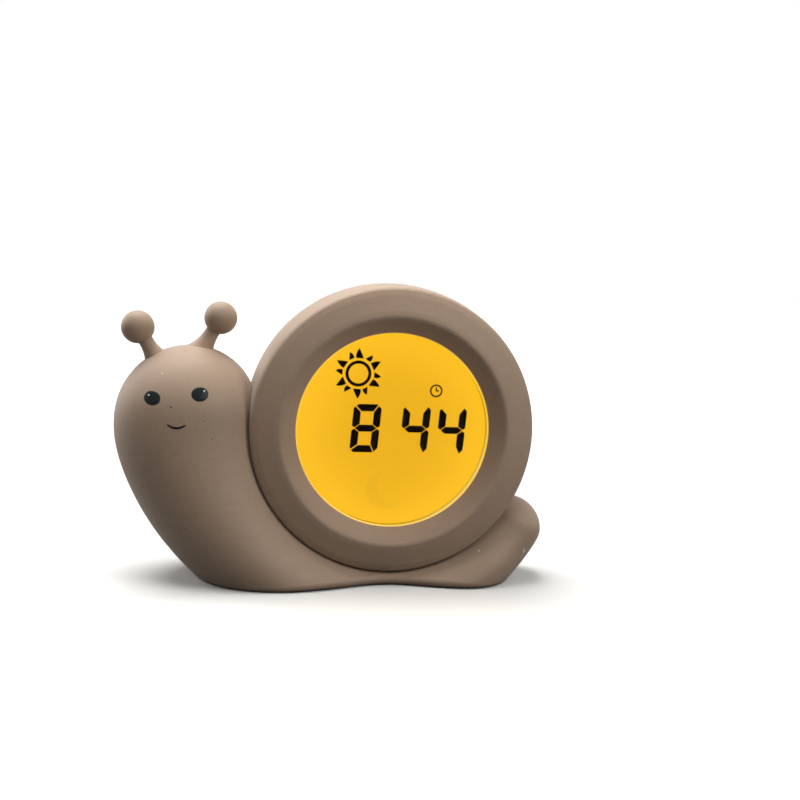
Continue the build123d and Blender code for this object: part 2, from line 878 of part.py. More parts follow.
with BuildPart() as main_board:
    with BuildSketch(level(-main_board_depth)):
        with Locations((0, (main_board_top - main_board_bottom) / 2)):
            RectangleRounded(
                2 * main_board_half_width, main_board_top + main_board_bottom, board_corner
            )
        with Locations(*board_corners):
            Circle(small_screw_diameter / 2 + screw_play, mode=Mode.SUBTRACT)
    extrude(amount=board_thickness)
save(main_board, "main_board")

with BuildPart() as main_board_chips:
    for place, size, height in board_chips:
        with BuildSketch(level(-main_board_depth + height)):
            with Locations(place):
                Rectangle(*size)
        extrude(amount=height)
save(main_board_chips, "main_board_chips")

with BuildPart() as button_board:
    with BuildSketch(level(button_board_depth)):
        with Locations((0, (button_board_low + button_board_high) / 2)):
            RectangleRounded(
                2 * button_board_half_width, button_board_high - button_board_low, board_corner
            )
        with Locations((0, speaker_height)):
            Circle(speaker_collar, mode=Mode.SUBTRACT)
        with Locations(*board_posts):
            Circle(small_screw_diameter / 2 + screw_play, mode=Mode.SUBTRACT)
    extrude(amount=board_thickness)
save(button_board, "button_board")

with BuildPart() as tact_switches:
    with BuildSketch(level(switch_top)):
        with Locations(*[(x, button_height) for x in button_places]):
            Rectangle(switch_size, switch_size)
    extrude(amount=switch_height)
    with BuildSketch(level(switch_top)):
        with Locations(*[(x, button_height) for x in button_places]):
            Circle(plunger_radius + button_play)
    extrude(amount=plunger_length + button_travel, mode=Mode.SUBTRACT)
save(tact_switches, "tact_switches")

with BuildPart() as slide_switch:
    with BuildSketch(level(switch_top)):
        with Locations((slider_x, slider_height)):
            Rectangle(slide_body_length, slide_body_width)
    extrude(amount=switch_height)
    with BuildSketch(level(switch_top)):
        with Locations((slider_x, slider_height)):
            Rectangle(slider_travel + slider_width + 2 * slider_play, slider_thickness + 2 * slider_play)
    extrude(amount=slider_foot + slider_play, mode=Mode.SUBTRACT)
save(slide_switch, "slide_switch")

with BuildPart() as power_inlet:
    with BuildSketch(level(back_depth - inlet_recess)):
        with Locations((inlet_x, inlet_height)):
            RectangleRounded(inlet_width, inlet_thickness, inlet_thickness / 2 - inlet_skin / 2)
    extrude(amount=back_depth - inlet_recess - button_board_depth)
    with BuildSketch(level(back_depth - inlet_recess)):
        with Locations((inlet_x, inlet_height)):
            RectangleRounded(
                inlet_width - 2 * inlet_skin,
                inlet_thickness - 2 * inlet_skin,
                inlet_thickness / 2 - 2 * inlet_skin,
            )
            Rectangle(inlet_tongue_width, inlet_tongue_thickness, mode=Mode.SUBTRACT)
    extrude(amount=inlet_pocket, mode=Mode.SUBTRACT)
save(power_inlet, "power_inlet")

with BuildPart() as ribbon_cable:
    with BuildSketch(Plane.YZ.offset(ribbon_x)):
        with BuildLine():
            near = (-main_board_depth, drum_height + ribbon_height)
            far = (button_board_front, drum_height + ribbon_height)
            middle = ((near[0] + far[0]) / 2, drum_height + ribbon_height + ribbon_bow)
            lower = ThreePointArc(near, middle, far)
            upper = ThreePointArc(
                (far[0], far[1] + ribbon_thickness),
                (middle[0], middle[1] + ribbon_thickness),
                (near[0], near[1] + ribbon_thickness),
            )
            Line(lower @ 1, upper @ 0)
            Line(upper @ 1, lower @ 0)
        make_face()
    extrude(amount=ribbon_width)
save(ribbon_cable, "ribbon_cable")

# ---- speaker ----

with BuildPart() as speaker_gasket:
    with BuildSketch(level(inner_back)):
        with Locations((0, speaker_height)):
            Circle(speaker_radius)
            Circle(speaker_radius - speaker_rim, mode=Mode.SUBTRACT)
    extrude(amount=speaker_gasket_thickness)
save(speaker_gasket, "speaker_gasket")

with BuildPart() as speaker_frame:
    with BuildSketch(speaker_plane):
        with BuildLine():
            Polyline(
                (magnet_radius, speaker_face - speaker_depth),
                (magnet_radius + speaker_rim, speaker_face - speaker_depth),
                (speaker_radius, speaker_face - speaker_flange),
                (speaker_radius, speaker_face),
                (speaker_radius - speaker_rim, speaker_face),
                (speaker_radius - speaker_rim, speaker_face - speaker_flange),
                (magnet_radius, speaker_face - speaker_depth + speaker_flange),
                close=True,
            )
        make_face()
    revolve(axis=speaker_axis)
save(speaker_frame, "speaker_frame")

with BuildPart() as speaker_magnet:
    with BuildSketch(level(speaker_face - speaker_depth + speaker_flange)):
        with Locations((0, speaker_height)):
            Circle(magnet_radius)
    extrude(amount=magnet_length)
    fillet(speaker_magnet.edges().filter_by(GeomType.CIRCLE).sort_by(Axis.Y)[0], speaker_flange / 2)
save(speaker_magnet, "speaker_magnet")

with BuildPart() as speaker_cone:
    with BuildSketch(speaker_plane):
        with BuildLine():
            Polyline(
                (0, speaker_face - speaker_depth + speaker_flange + cone_cap),
                (cone_cap_radius, speaker_face - speaker_depth + speaker_flange),
                (speaker_radius - speaker_rim, speaker_face - speaker_flange + cone_thickness),
                (speaker_radius - speaker_rim, speaker_face - speaker_flange + 2 * cone_thickness),
                (cone_cap_radius, speaker_face - speaker_depth + speaker_flange + cone_thickness),
                (0, speaker_face - speaker_depth + speaker_flange + cone_cap + cone_thickness),
                close=True,
            )
        make_face()
    revolve(axis=speaker_axis)
save(speaker_cone, "speaker_cone")

# ---- battery bay ----

with BuildPart() as battery_cells:
    with BuildSketch(Plane.YZ.offset(cell_start)):
        with Locations(*[(cell_depth, drum_height + z) for z in cell_heights]):
            Circle(cell_diameter / 2)
    extrude(amount=cell_length - cell_nub_length)
    with BuildSketch(Plane.YZ.offset(cell_start + cell_length - cell_nub_length)):
        with Locations(*[(cell_depth, drum_height + z) for z in cell_heights]):
            Circle(cell_nub_radius)
    extrude(amount=cell_nub_length)
save(battery_cells, "battery_cells")

with BuildPart() as contact_plates:
    with BuildSketch(Plane.YZ.offset(cell_start + cell_length)):
        with Locations(*[(cell_depth, drum_height + z) for z in cell_heights]):
            Rectangle(plate_size, plate_size)
    extrude(amount=bay_half_width - cell_start - cell_length)
save(contact_plates, "contact_plates")

with BuildPart() as contact_springs:
    for z in cell_heights:
        with BuildSketch(Plane.YZ.offset(-bay_half_width)):
            with Locations((cell_depth, drum_height + z)):
                Rectangle(plate_size, plate_size)
        extrude(amount=spring_plate)
        with BuildLine():
            coil = Helix(
                coil_length / spring_turns,
                coil_length,
                spring_radius,
                center=(coil_start, cell_depth, drum_height + z),
                direction=(1, 0, 0),
            )
        with BuildSketch(Plane(origin=coil @ 0, z_dir=coil % 0)):
            Circle(spring_wire)
        sweep()
save(contact_springs, "contact_springs")

with BuildPart() as battery_door:
    with BuildSketch(level(back_depth)):
        with Locations((0, (door_top + bay_bottom) / 2)):
            Rectangle(2 * (door_half_width - door_play), door_top - door_play - bay_bottom - door_play)
        with Locations((0, door_ear_height)):
            Circle(door_ear_radius)
        with Locations((0, (door_ear_height + door_top) / 2 - door_play)):
            Rectangle(2 * door_ear_radius, door_ear_height - door_top + 2 * door_play)
    extrude(amount=door_thickness)
    for x in (-door_tab_x, door_tab_x):
        with BuildSketch(Plane.YZ.offset(x - door_tab_width / 2)):
            with BuildLine():
                tab_low = drum_height + bay_bottom - door_tab_reach
                tab_root = drum_height + bay_bottom + 2 * door_tab_thickness
                Polyline(
                    (door_inner, tab_root),
                    (door_inner - door_tab_thickness, tab_root - door_tab_thickness),
                    (door_inner - door_tab_thickness, tab_low),
                    (inner_back - door_tab_gap, tab_low),
                    (inner_back - door_tab_gap, drum_height + bay_bottom + door_play),
                    (door_inner, drum_height + bay_bottom + door_play),
                    close=True,
                )
            make_face()
        extrude(amount=door_tab_width)
    with BuildSketch(level(back_depth)):
        with Locations((0, door_ear_height)):
            Circle(small_head_diameter / 2 + screw_play)
    extrude(amount=small_head_height, mode=Mode.SUBTRACT)
    with BuildSketch(level(back_depth)):
        with Locations((0, door_ear_height)):
            Circle(door_screw_radius + thread_play)
    extrude(amount=door_thickness, mode=Mode.SUBTRACT)
    with BuildSketch(level(back_depth)):
        with GridLocations(0, door_groove_pitch, 1, door_grooves):
            Rectangle(door_groove_length, door_groove_width)
    extrude(amount=door_groove_depth, mode=Mode.SUBTRACT)
save(battery_door, "battery_door")


def screws(places, seat, head_radius, head_height, shank_radius, length):
    """Pan head screws that point towards -Y, heads seated at depth seat."""
    with BuildPart() as group:
        with BuildSketch(table_level(seat + head_height)):
            with Locations(*places):
                Circle(head_radius)
        extrude(amount=head_height)
        chamfer(group.edges().filter_by(GeomType.CIRCLE).group_by(Axis.Y)[-1], head_height / 3)
        with BuildSketch(table_level(seat)):
            with Locations(*places):
                Circle(shank_radius)
        extrude(amount=length)
    return group


def from_table(places):
    return [(x, drum_height + z) for x, z in places]


door_screw = screws(
    from_table([(0, door_ear_height)]),
    back_depth - small_head_height,
    small_head_diameter / 2,
    small_head_height - window_play,
    door_screw_radius,
    door_thickness - small_head_height + door_screw_grip,
)
save(door_screw, "door_screw")
body_screws = screws(
    screw_places,
    body_screw_head,
    screw_head_diameter / 2,
    screw_head_height,
    screw_diameter / 2,
    body_screw_length,
)
save(body_screws, "body_screws")
shell_screws = screws(
    from_table(polar(shell_screw_radius, angle) for angle in shell_screw_angles),
    shell_screw_head,
    screw_head_diameter / 2,
    screw_head_height,
    screw_diameter / 2,
    shell_screw_length,
)
save(shell_screws, "shell_screws")
tray_screws = screws(
    from_table(polar(ear_radius, angle) for angle in ear_angles),
    tray_level,
    small_head_diameter / 2,
    small_head_height,
    small_screw_diameter / 2,
    small_screw_length,
)
save(tray_screws, "tray_screws")
main_board_screws = screws(
    from_table(board_corners),
    -main_board_depth,
    small_head_diameter / 2,
    small_head_height,
    small_screw_diameter / 2,
    small_screw_length,
)
save(main_board_screws, "main_board_screws")

with BuildPart() as button_board_screws:
    with BuildSketch(level(button_board_front)):
        with Locations(*board_posts):
            Circle(small_head_diameter / 2)
    extrude(amount=small_head_height)
    chamfer(
        button_board_screws.edges().filter_by(GeomType.CIRCLE).group_by(Axis.Y)[0], small_head_height / 3
    )
    with BuildSketch(level(button_board_front + small_screw_length)):
        with Locations(*board_posts):
            Circle(small_screw_diameter / 2)
    extrude(amount=small_screw_length)
save(button_board_screws, "button_board_screws")

# ---- moving controls ----

for name, x in zip(button_names, button_places):
    with BuildPart() as button:
        with BuildSketch(level(back_depth + button_proud)):
            with Locations((x, button_height)):
                Circle(button_radius)
        extrude(amount=back_depth + button_proud - flange_top)
        fillet(button.edges().filter_by(GeomType.CIRCLE).sort_by(Axis.Y)[-1], button_edge)
        with BuildSketch(level(flange_top)):
            with Locations((x, button_height)):
                Circle(button_flange_radius)
        extrude(amount=button_flange_thickness)
        with BuildSketch(level(flange_top - button_flange_thickness)):
            with Locations((x, button_height)):
                Circle(button_stem_radius)
        extrude(amount=flange_top - button_flange_thickness - plunger_top)
    save(button, f"button_{name}")
    with BuildPart() as plunger:
        with BuildSketch(level(plunger_top)):
            with Locations((x, button_height)):
                Circle(plunger_radius)
        extrude(amount=plunger_length)
    save(plunger, f"plunger_{name}")

with BuildPart() as alarm_slider:
    with BuildSketch(level(back_depth + slider_proud)):
        with Locations((slider_x - slider_travel / 2, slider_height)):
            Rectangle(slider_width, slider_thickness)
    extrude(amount=back_depth + slider_proud - switch_top + slider_foot)
    ridge = alarm_slider.faces().sort_by(Axis.Y)[-1].edges().filter_by(Axis.Z)
    fillet(ridge, slider_proud / 2)
save(alarm_slider, "alarm_slider")
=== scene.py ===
"""A snail-shaped children's alarm clock with night light: finishes, face, display and studio.

Lengths are in metres. +X runs from head to tail, the clock faces -Y and +Z is up.
"""

import logging
import math
from dataclasses import dataclass
from enum import Enum
from typing import Protocol

import bmesh
import bpy
import numpy as np
from mathutils import Matrix, Vector


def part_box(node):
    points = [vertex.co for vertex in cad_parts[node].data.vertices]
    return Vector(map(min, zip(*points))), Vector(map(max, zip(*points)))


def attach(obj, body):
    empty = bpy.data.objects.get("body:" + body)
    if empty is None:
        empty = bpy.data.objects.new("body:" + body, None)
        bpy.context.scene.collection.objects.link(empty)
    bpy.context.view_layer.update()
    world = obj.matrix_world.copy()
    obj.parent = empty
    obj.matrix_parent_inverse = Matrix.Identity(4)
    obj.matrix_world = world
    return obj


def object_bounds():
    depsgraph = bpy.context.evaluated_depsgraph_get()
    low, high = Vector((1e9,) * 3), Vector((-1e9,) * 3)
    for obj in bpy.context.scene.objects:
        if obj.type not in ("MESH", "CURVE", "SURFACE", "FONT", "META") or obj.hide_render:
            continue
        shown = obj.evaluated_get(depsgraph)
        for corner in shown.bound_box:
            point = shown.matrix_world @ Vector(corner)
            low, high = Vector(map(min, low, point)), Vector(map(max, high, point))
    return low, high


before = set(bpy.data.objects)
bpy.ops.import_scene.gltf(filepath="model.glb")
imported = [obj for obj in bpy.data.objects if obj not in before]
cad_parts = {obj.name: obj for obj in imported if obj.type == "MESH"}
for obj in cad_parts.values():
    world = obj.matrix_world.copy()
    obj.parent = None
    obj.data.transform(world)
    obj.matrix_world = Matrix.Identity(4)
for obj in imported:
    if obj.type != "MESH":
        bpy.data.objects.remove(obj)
CAD_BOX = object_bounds()

MM = 0.001
# edges of the small pieces that turn further than this stay sharp
SHARP_EDGE = math.radians(35.0)
CIRCLE_POINTS = 96
# how far ahead of the clock the probes start that look for its surface
PROBE_GAP = 10 * MM
TAUPE = (0.31, 0.216, 0.148)
ZINC = (0.56, 0.57, 0.58)
# a colour, a point in space, a place or size on the face as X and Z, and a pair of values
# that belong together, such as front and back or low and high
Colour = tuple[float, float, float]
Point = tuple[float, float, float]
Place = tuple[float, float]
Span = tuple[float, float]
Socket = bpy.types.NodeSocket
Material = bpy.types.Material
log = logging.getLogger("snail_clock")


class Axis:
    """Where the drum's axis, faces and window lie, read from the frame."""

    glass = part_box("lcd_front_glass")
    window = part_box("display_window")
    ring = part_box("shell_ring")
    height: float = (glass[0].z + glass[1].z) / 2
    radius: float = (ring[1].x - ring[0].x) / 2
    front: float = ring[0].y
    rear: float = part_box("shell_back")[1].y
    window_radius: float = (window[1].x - window[0].x) / 2
    flange_lap: float = 3.1 * MM
    opening: float = window_radius - flange_lap
    glass_front: float = glass[0].y
    print_depth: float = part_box("lcd_rear_glass")[0].y


# ---- surfaces ----


@dataclass
class Shell:
    """A closed surface as arrays: points, one row each, and faces that name them."""

    points: np.ndarray
    faces: list[list[int]]


def band_faces(rows: int, columns: int, wrap_rows: bool = False, wrap_columns: bool = True) -> np.ndarray:
    """Quads that join each point of a grid to its neighbours in both directions.

    Args:
        rows: number of rows in the grid.
        columns: number of points in each row.
        wrap_rows: True joins the last row to the first.
        wrap_columns: True joins the last point of a row to its first.

    Returns:
        An array with four point numbers for each quad.
    """
    row = np.arange(rows if wrap_rows else rows - 1)[:, None]
    column = np.arange(columns if wrap_columns else columns - 1)[None, :]
    next_row = (row + 1) % rows
    next_column = (column + 1) % columns
    corners = (
        row * columns + column,
        row * columns + next_column,
        next_row * columns + next_column,
        next_row * columns + column,
    )
    return np.stack([corner.ravel() for corner in corners], axis=1)


def unit_circle(count: int) -> np.ndarray:
    """Points evenly round a circle of radius 1: the cosine and the sine of each turn."""
    turn = np.linspace(0, 2 * math.pi, count, endpoint=False)
    return np.column_stack([np.cos(turn), np.sin(turn)])


def at_depth(outline: np.ndarray, depth: float) -> np.ndarray:
    """An outline's X, Z points as X, Y, Z points that all lie at one depth."""
    return np.column_stack([outline[:, 0], np.full(len(outline), depth), outline[:, 1]])


def capped_rows(rows: np.ndarray, first: np.ndarray, last: np.ndarray) -> Shell:
    """Closes a stack of rings with one point at each end.

    Args:
        rows: points of the rings, shape rings x points x 3.
        first: the point that closes the first ring.
        last: the point that closes the last ring.

    Returns:
        The closed shell.
    """
    rings, count = rows.shape[:2]
    points = np.vstack([rows.reshape(-1, 3), first[None, :], last[None, :]])
    here = np.arange(count)
    after = (here + 1) % count
    first_cap = rings * count
    last_ring = first_cap - count
    fan_first = np.stack([np.full(count, first_cap), after, here], axis=1)
    fan_last = np.stack([np.full(count, first_cap + 1), last_ring + here, last_ring + after], axis=1)
    return Shell(points, band_faces(rings, count).tolist() + fan_first.tolist() + fan_last.tolist())


def flat_plate(inner: np.ndarray, outer: np.ndarray, depths: Span, ring: bool) -> Shell:
    """A plate between two edges: each edge is a row of X, Z points, carried from front to back.

    Args:
        inner: points of one edge.
        outer: as many points of the other edge.
        depths: Y of the front and of the back face.
        ring: True where both edges close on themselves.

    Returns:
        The closed plate.
    """
    front, back = depths
    rails = ((inner, front), (outer, front), (outer, back), (inner, back))
    rows = np.stack([at_depth(edge, depth) for edge, depth in rails])
    count = len(inner)
    faces = band_faces(len(rails), count, wrap_rows=True, wrap_columns=ring).tolist()
    if not ring:
        starts = [rail * count for rail in range(len(rails))]
        faces.append(starts)
        faces.append([start + count - 1 for start in reversed(starts)])
    return Shell(rows.reshape(-1, 3), faces)


def prism(outline: np.ndarray, depths: Span) -> Shell:
    """A plate whose face is one convex outline of X, Z points.

    Args:
        outline: corners in order.
        depths: Y of the front and of the back face.

    Returns:
        The closed plate.
    """
    count = len(outline)
    faces = band_faces(2, count).tolist()
    faces.append(list(range(count)))
    faces.append(list(range(2 * count - 1, count - 1, -1)))
    return Shell(np.vstack([at_depth(outline, depth) for depth in depths]), faces)


def ring_plate(centre: Place, radius: float, stroke: float, depths: Span) -> Shell:
    """A flat ring: two circles about one centre, a stroke apart.

    Args:
        centre: X and Z of the centre.
        radius: outer radius.
        stroke: width of the ring.
        depths: Y of the front and of the back face.

    Returns:
        The closed ring.
    """
    circle = unit_circle(CIRCLE_POINTS)
    middle = np.array(centre)
    return flat_plate(middle + (radius - stroke) * circle, middle + radius * circle, depths, True)


def stroke_plate(start: Place, end: Place, width: float, depths: Span) -> Shell:
    """A straight stroke between two points of the face, with half its width on each side.

    Args:
        start: X and Z of one end.
        end: X and Z of the other end.
        width: width of the stroke.
        depths: Y of the front and of the back face.

    Returns:
        The closed stroke.
    """
    first, second = np.array(start), np.array(end)
    along = (second - first) / np.linalg.norm(second - first)
    across = np.array([-along[1], along[0]]) * width / 2
    return prism(np.array([first - across, second - across, second + across, first + across]), depths)


def join_shells(shells: list[Shell]) -> Shell:
    """Puts several shells into one.

    Args:
        shells: the closed shells.

    Returns:
        One shell, with the faces numbered on from each shell to the next.
    """
    points, faces, count = [], [], 0
    for shell in shells:
        points.append(shell.points)
        faces += [[count + corner for corner in face] for face in shell.faces]
        count += len(shell.points)
    return Shell(np.vstack(points), faces)


def clock_face(centre: Place, ring: Span, hands: Place, width: float, depths: Span) -> Shell:
    """A small clock: a ring, one hand that points up and one that points to a side.

    Args:
        centre: X and Z of the centre.
        ring: outer radius and stroke of the ring.
        hands: length of the upright hand, and of the level one along X.
        width: width of both hands.
        depths: Y of the front and of the back face.

    Returns:
        The closed plates.
    """
    x, z = centre
    upright = stroke_plate((x, z - width / 2), (x, z + hands[0]), width, depths)
    level = stroke_plate(centre, (x + hands[1], z), width, depths)
    return join_shells([ring_plate(centre, *ring, depths), upright, level])


def make_piece(name: str, shell: Shell, finish: Material, body: str = "root") -> None:
    """Turns a shell into an object at the origin that rides on a body.

    Args:
        name: name of the piece.
        shell: its closed surface.
        finish: its material.
        body: the moving or fixed body that carries it.
    """
    mesh = bpy.data.meshes.new(name)
    mesh.from_pydata(shell.points.tolist(), [], shell.faces)
    shape = bmesh.new()
    shape.from_mesh(mesh)
    bmesh.ops.recalc_face_normals(shape, faces=shape.faces)
    shape.to_mesh(mesh)
    shape.free()
    mesh.shade_smooth()
    mesh.set_sharp_from_angle(angle=SHARP_EDGE)
    mesh.materials.append(finish)
    piece = bpy.data.objects.new(name, mesh)
    bpy.context.scene.collection.objects.link(piece)
    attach(piece, body)
    log.info("%s: %d faces on %s", name, len(mesh.polygons), body)


def surface_depth(node: str, x: np.ndarray, z: np.ndarray) -> np.ndarray:
    """Depth along Y at which a line from the front first meets a node's surface.

    Args:
        node: name of the solid.
        x: X of each line.
        z: Z of each line.

    Returns:
        One Y for each pair of x and z.
    """
    start = CAD_BOX[0].y - PROBE_GAP
    points = np.column_stack([x.ravel(), np.full(x.size, start), z.ravel()])
    mesh = bpy.data.meshes.new("probe")
    mesh.from_pydata(points.tolist(), [], [])
    probe = bpy.data.objects.new("probe", mesh)
    bpy.context.scene.collection.objects.link(probe)
    wrap = probe.modifiers.new("wrap", "SHRINKWRAP")
    wrap.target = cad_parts[node]
    wrap.wrap_method = "PROJECT"
    wrap.use_project_y = True
    wrap.use_positive_direction = True
    wrap.use_negative_direction = False
    shaped = probe.evaluated_get(bpy.context.evaluated_depsgraph_get()).to_mesh()
    found = np.empty(3 * x.size)
    shaped.vertices.foreach_get("co", found)
    bpy.data.objects.remove(probe)
    bpy.data.meshes.remove(mesh)
    return found.reshape(-1, 3)[:, 1].reshape(x.shape)


# ---- patterns and the sheets that draw them ----


@dataclass(frozen=True)
class Cloud:
    """A noise pattern: size of its blotches, count of finer layers, factors along X, Y and Z."""

    size: float
    detail: float = 3.0
    stretch: Point = (1.0, 1.0, 1.0)


@dataclass(frozen=True)
class Patches:
    """Patches of a noise pattern, from one limit to the other, that change a colour by a factor."""

    cloud: Cloud
    limits: Span
    factor: float


@dataclass(frozen=True)
class Flecks:
    """Scattered round spots: mean spacing, radius, the share of places that hold one, strength.

    A spot is at its full strength within its core, a share of its radius, and fades from there.
    """

    spacing: float
    radius: float
    share: float
    strength: float
    core: float = 0.6


@dataclass(frozen=True)
class Edge:
    """A circular edge round the drum's axis: its radius and its Y."""

    radius: float
    depth: float


def shade(colour: Colour, factor: float) -> Colour:
    """The same colour, lighter or darker by a factor."""
    return tuple(min(1.0, part * factor) for part in colour)


class Sheet:
    """A material's node sheet, with short ways to add nodes and join them."""

    # sockets of a Mix node that hold its two colours and its result
    FIRST_COLOUR, SECOND_COLOUR, MIXED_COLOUR = 6, 7, 2

    def __init__(self, name: str) -> None:
        """Starts an empty sheet with a shader and an output.

        Args:
            name: name of the material.
        """
        self.material = bpy.data.materials.new(name)
        self.material.use_nodes = True
        self.tree = self.material.node_tree
        self.tree.nodes.clear()
        self.shader = self.tree.nodes.new("ShaderNodeBsdfPrincipled")
        output = self.tree.nodes.new("ShaderNodeOutputMaterial")
        self.tree.links.new(self.shader.outputs[0], output.inputs[0])
        self.place = self.tree.nodes.new("ShaderNodeTexCoord").outputs["Object"]

    def feed(self, target: Socket, value: Socket | float | Colour) -> None:
        """Leads a socket into an input, or sets the input to a constant.

        Args:
            target: the input.
            value: a socket, a number or a colour.
        """
        if isinstance(value, Socket):
            self.tree.links.new(value, target)
        elif isinstance(value, tuple):
            target.default_value = (*value, 1.0)
        else:
            target.default_value = value

    def put(self, name: str, value: Socket | float | Colour) -> None:
        """Gives one of the shader's inputs a socket, a number or a colour."""
        self.feed(self.shader.inputs[name], value)

    def math(self, operation: str, *values: Socket | float) -> Socket:
        """Works out a sum or other function of sockets and numbers.

        Args:
            operation: name of the function.
            values: one to three sockets or numbers.

        Returns:
            The result's socket.
        """
        node = self.tree.nodes.new("ShaderNodeMath")
        node.operation = operation
        for target, value in zip(node.inputs, values):
            self.feed(target, value)
        return node.outputs[0]

    def product(self, field: Socket, *factors: Socket | float) -> Socket:
        """Multiplies a field by other fields and numbers.

        Args:
            field: the first field.
            factors: what it is multiplied by.

        Returns:
            The product's socket.
        """
        for factor in factors:
            field = self.math("MULTIPLY", field, factor)
        return field

    def hypotenuse(self, first: Socket, second: Socket) -> Socket:
        """The length of two gaps at right angles: the square root of their squares' sum."""
        square = self.math("MULTIPLY", first, first)
        return self.math("SQRT", self.math("MULTIPLY_ADD", second, second, square))

    def along(self, axis: int) -> Socket:
        """One coordinate of each point.

        Args:
            axis: 0 for X, 1 for Y and 2 for Z.

        Returns:
            The coordinate's socket.
        """
        split = self.tree.nodes.new("ShaderNodeSeparateXYZ")
        self.feed(split.inputs[0], self.place)
        return split.outputs[axis]

    def from_axis(self) -> Socket:
        """Distance of each point from the drum's axis."""
        return self.hypotenuse(self.math("SUBTRACT", self.along(2), Axis.height), self.along(0))

    def from_edge(self, edge: Edge) -> Socket:
        """Distance of each point from a circular edge, worked out across it and along Y.

        Args:
            edge: the edge.

        Returns:
            The distance's socket.
        """
        across = self.math("SUBTRACT", self.from_axis(), edge.radius)
        deep = self.math("SUBTRACT", self.along(1), edge.depth)
        return self.hypotenuse(across, deep)

    def disc(self, centre: Place, radius: float, blur: float = 0.2 * MM) -> Socket:
        """1 within a soft-edged circle across the clock and 0 outside it.

        Args:
            centre: X and Z of its centre.
            radius: its radius.
            blur: half the width of its soft edge.

        Returns:
            The circle's socket.
        """
        gaps = [self.math("SUBTRACT", self.along(axis), at) for axis, at in zip((0, 2), centre)]
        return self.ramp(self.hypotenuse(*gaps), radius + blur, radius - blur)

    def noise(self, cloud: Cloud) -> Socket:
        """A noise pattern over the object.

        Args:
            cloud: the pattern.

        Returns:
            The pattern's socket, about 0 to 1.
        """
        mapping = self.tree.nodes.new("ShaderNodeMapping")
        mapping.inputs["Scale"].default_value = cloud.stretch
        self.feed(mapping.inputs["Vector"], self.place)
        node = self.tree.nodes.new("ShaderNodeTexNoise")
        node.inputs["Scale"].default_value = 1 / cloud.size
        node.inputs["Detail"].default_value = cloud.detail
        self.feed(node.inputs["Vector"], mapping.outputs[0])
        return node.outputs["Fac"]

    def patches(self, patches: Patches) -> Socket:
        """1 within the patches of a noise pattern and 0 between them."""
        return self.ramp(self.noise(patches.cloud), *patches.limits)

    def spots(self, flecks: Flecks) -> Socket:
        """Round spots in some of the cells of a random lattice.

        Args:
            flecks: the spots.

        Returns:
            A socket that holds the spots' strength inside them and 0 elsewhere.
        """
        node = self.tree.nodes.new("ShaderNodeTexVoronoi")
        node.inputs["Scale"].default_value = 1 / flecks.spacing
        self.feed(node.inputs["Vector"], self.place)
        split = self.tree.nodes.new("ShaderNodeSeparateColor")
        self.feed(split.inputs[0], node.outputs["Color"])
        chosen = self.math("LESS_THAN", split.outputs[0], flecks.share)
        reach = flecks.radius / flecks.spacing
        near = self.ramp(node.outputs["Distance"], reach, flecks.core * reach)
        return self.product(chosen, near, flecks.strength)

    def ramp(self, value: Socket, low: float, high: float) -> Socket:
        """Maps a field onto 0 to 1, smoothly and clamped.

        Args:
            value: the field.
            low: its value that becomes 0, which may be the larger one.
            high: its value that becomes 1.

        Returns:
            The result's socket.
        """
        node = self.tree.nodes.new("ShaderNodeMapRange")
        node.interpolation_type = "SMOOTHSTEP"
        node.inputs["From Min"].default_value = low
        node.inputs["From Max"].default_value = high
        self.feed(node.inputs["Value"], value)
        return node.outputs[0]

    def span(self, value: Socket, low: float, high: float) -> Socket:
        """Maps a field of 0 to 1 onto the range from low to high.

        Args:
            value: the field.
            low: what 0 becomes.
            high: what 1 becomes.

        Returns:
            The result's socket.
        """
        node = self.tree.nodes.new("ShaderNodeMapRange")
        node.inputs["To Min"].default_value = low
        node.inputs["To Max"].default_value = high
        self.feed(node.inputs["Value"], value)
        return node.outputs[0]

    def blend(self, share: Socket, first: Socket | Colour, second: Socket | Colour) -> Socket:
        """Mixes two colours by a share.

        Args:
            share: socket that is 0 for the first colour and 1 for the second.
            first: a colour or a colour socket.
            second: a colour or a colour socket.

        Returns:
            The mixed colour's socket.
        """
        node = self.tree.nodes.new("ShaderNodeMix")
        node.data_type = "RGBA"
        self.feed(node.inputs["Factor"], share)
        self.feed(node.inputs[self.FIRST_COLOUR], first)
        self.feed(node.inputs[self.SECOND_COLOUR], second)
        return node.outputs[self.MIXED_COLOUR]

    def mottle(self, field: Socket, colour: Colour, strength: float) -> Socket:
        """A colour that varies by a share of itself to both sides, by a field of 0 to 1."""
        return self.blend(field, shade(colour, 1 - strength), shade(colour, 1 + strength))

    def roughen(self, field: Socket, low: float, high: float) -> None:
        """Spreads the shader's roughness from low to high by a field of 0 to 1."""
        self.put("Roughness", self.span(field, low, high))

    def bump(self, height: Socket, depth: float) -> None:
        """Raises the surface by a height field, on top of the fields raised before it.

        Args:
            height: field of 0 to 1.
            depth: height in metres where the field is 1; a negative one sinks the surface.
        """
        node = self.tree.nodes.new("ShaderNodeBump")
        node.invert = depth < 0
        node.inputs["Strength"].default_value = 1.0
        node.inputs["Distance"].default_value = abs(depth)
        self.feed(node.inputs["Height"], height)
        normal = self.shader.inputs["Normal"]
        if normal.is_linked:
            self.feed(node.inputs["Normal"], normal.links[0].from_socket)
        self.feed(normal, node.outputs[0])


# ---- finishes ----


class Finish(Protocol):
    """Anything that can make a material."""

    def build(self) -> Material:
        """Makes the material."""


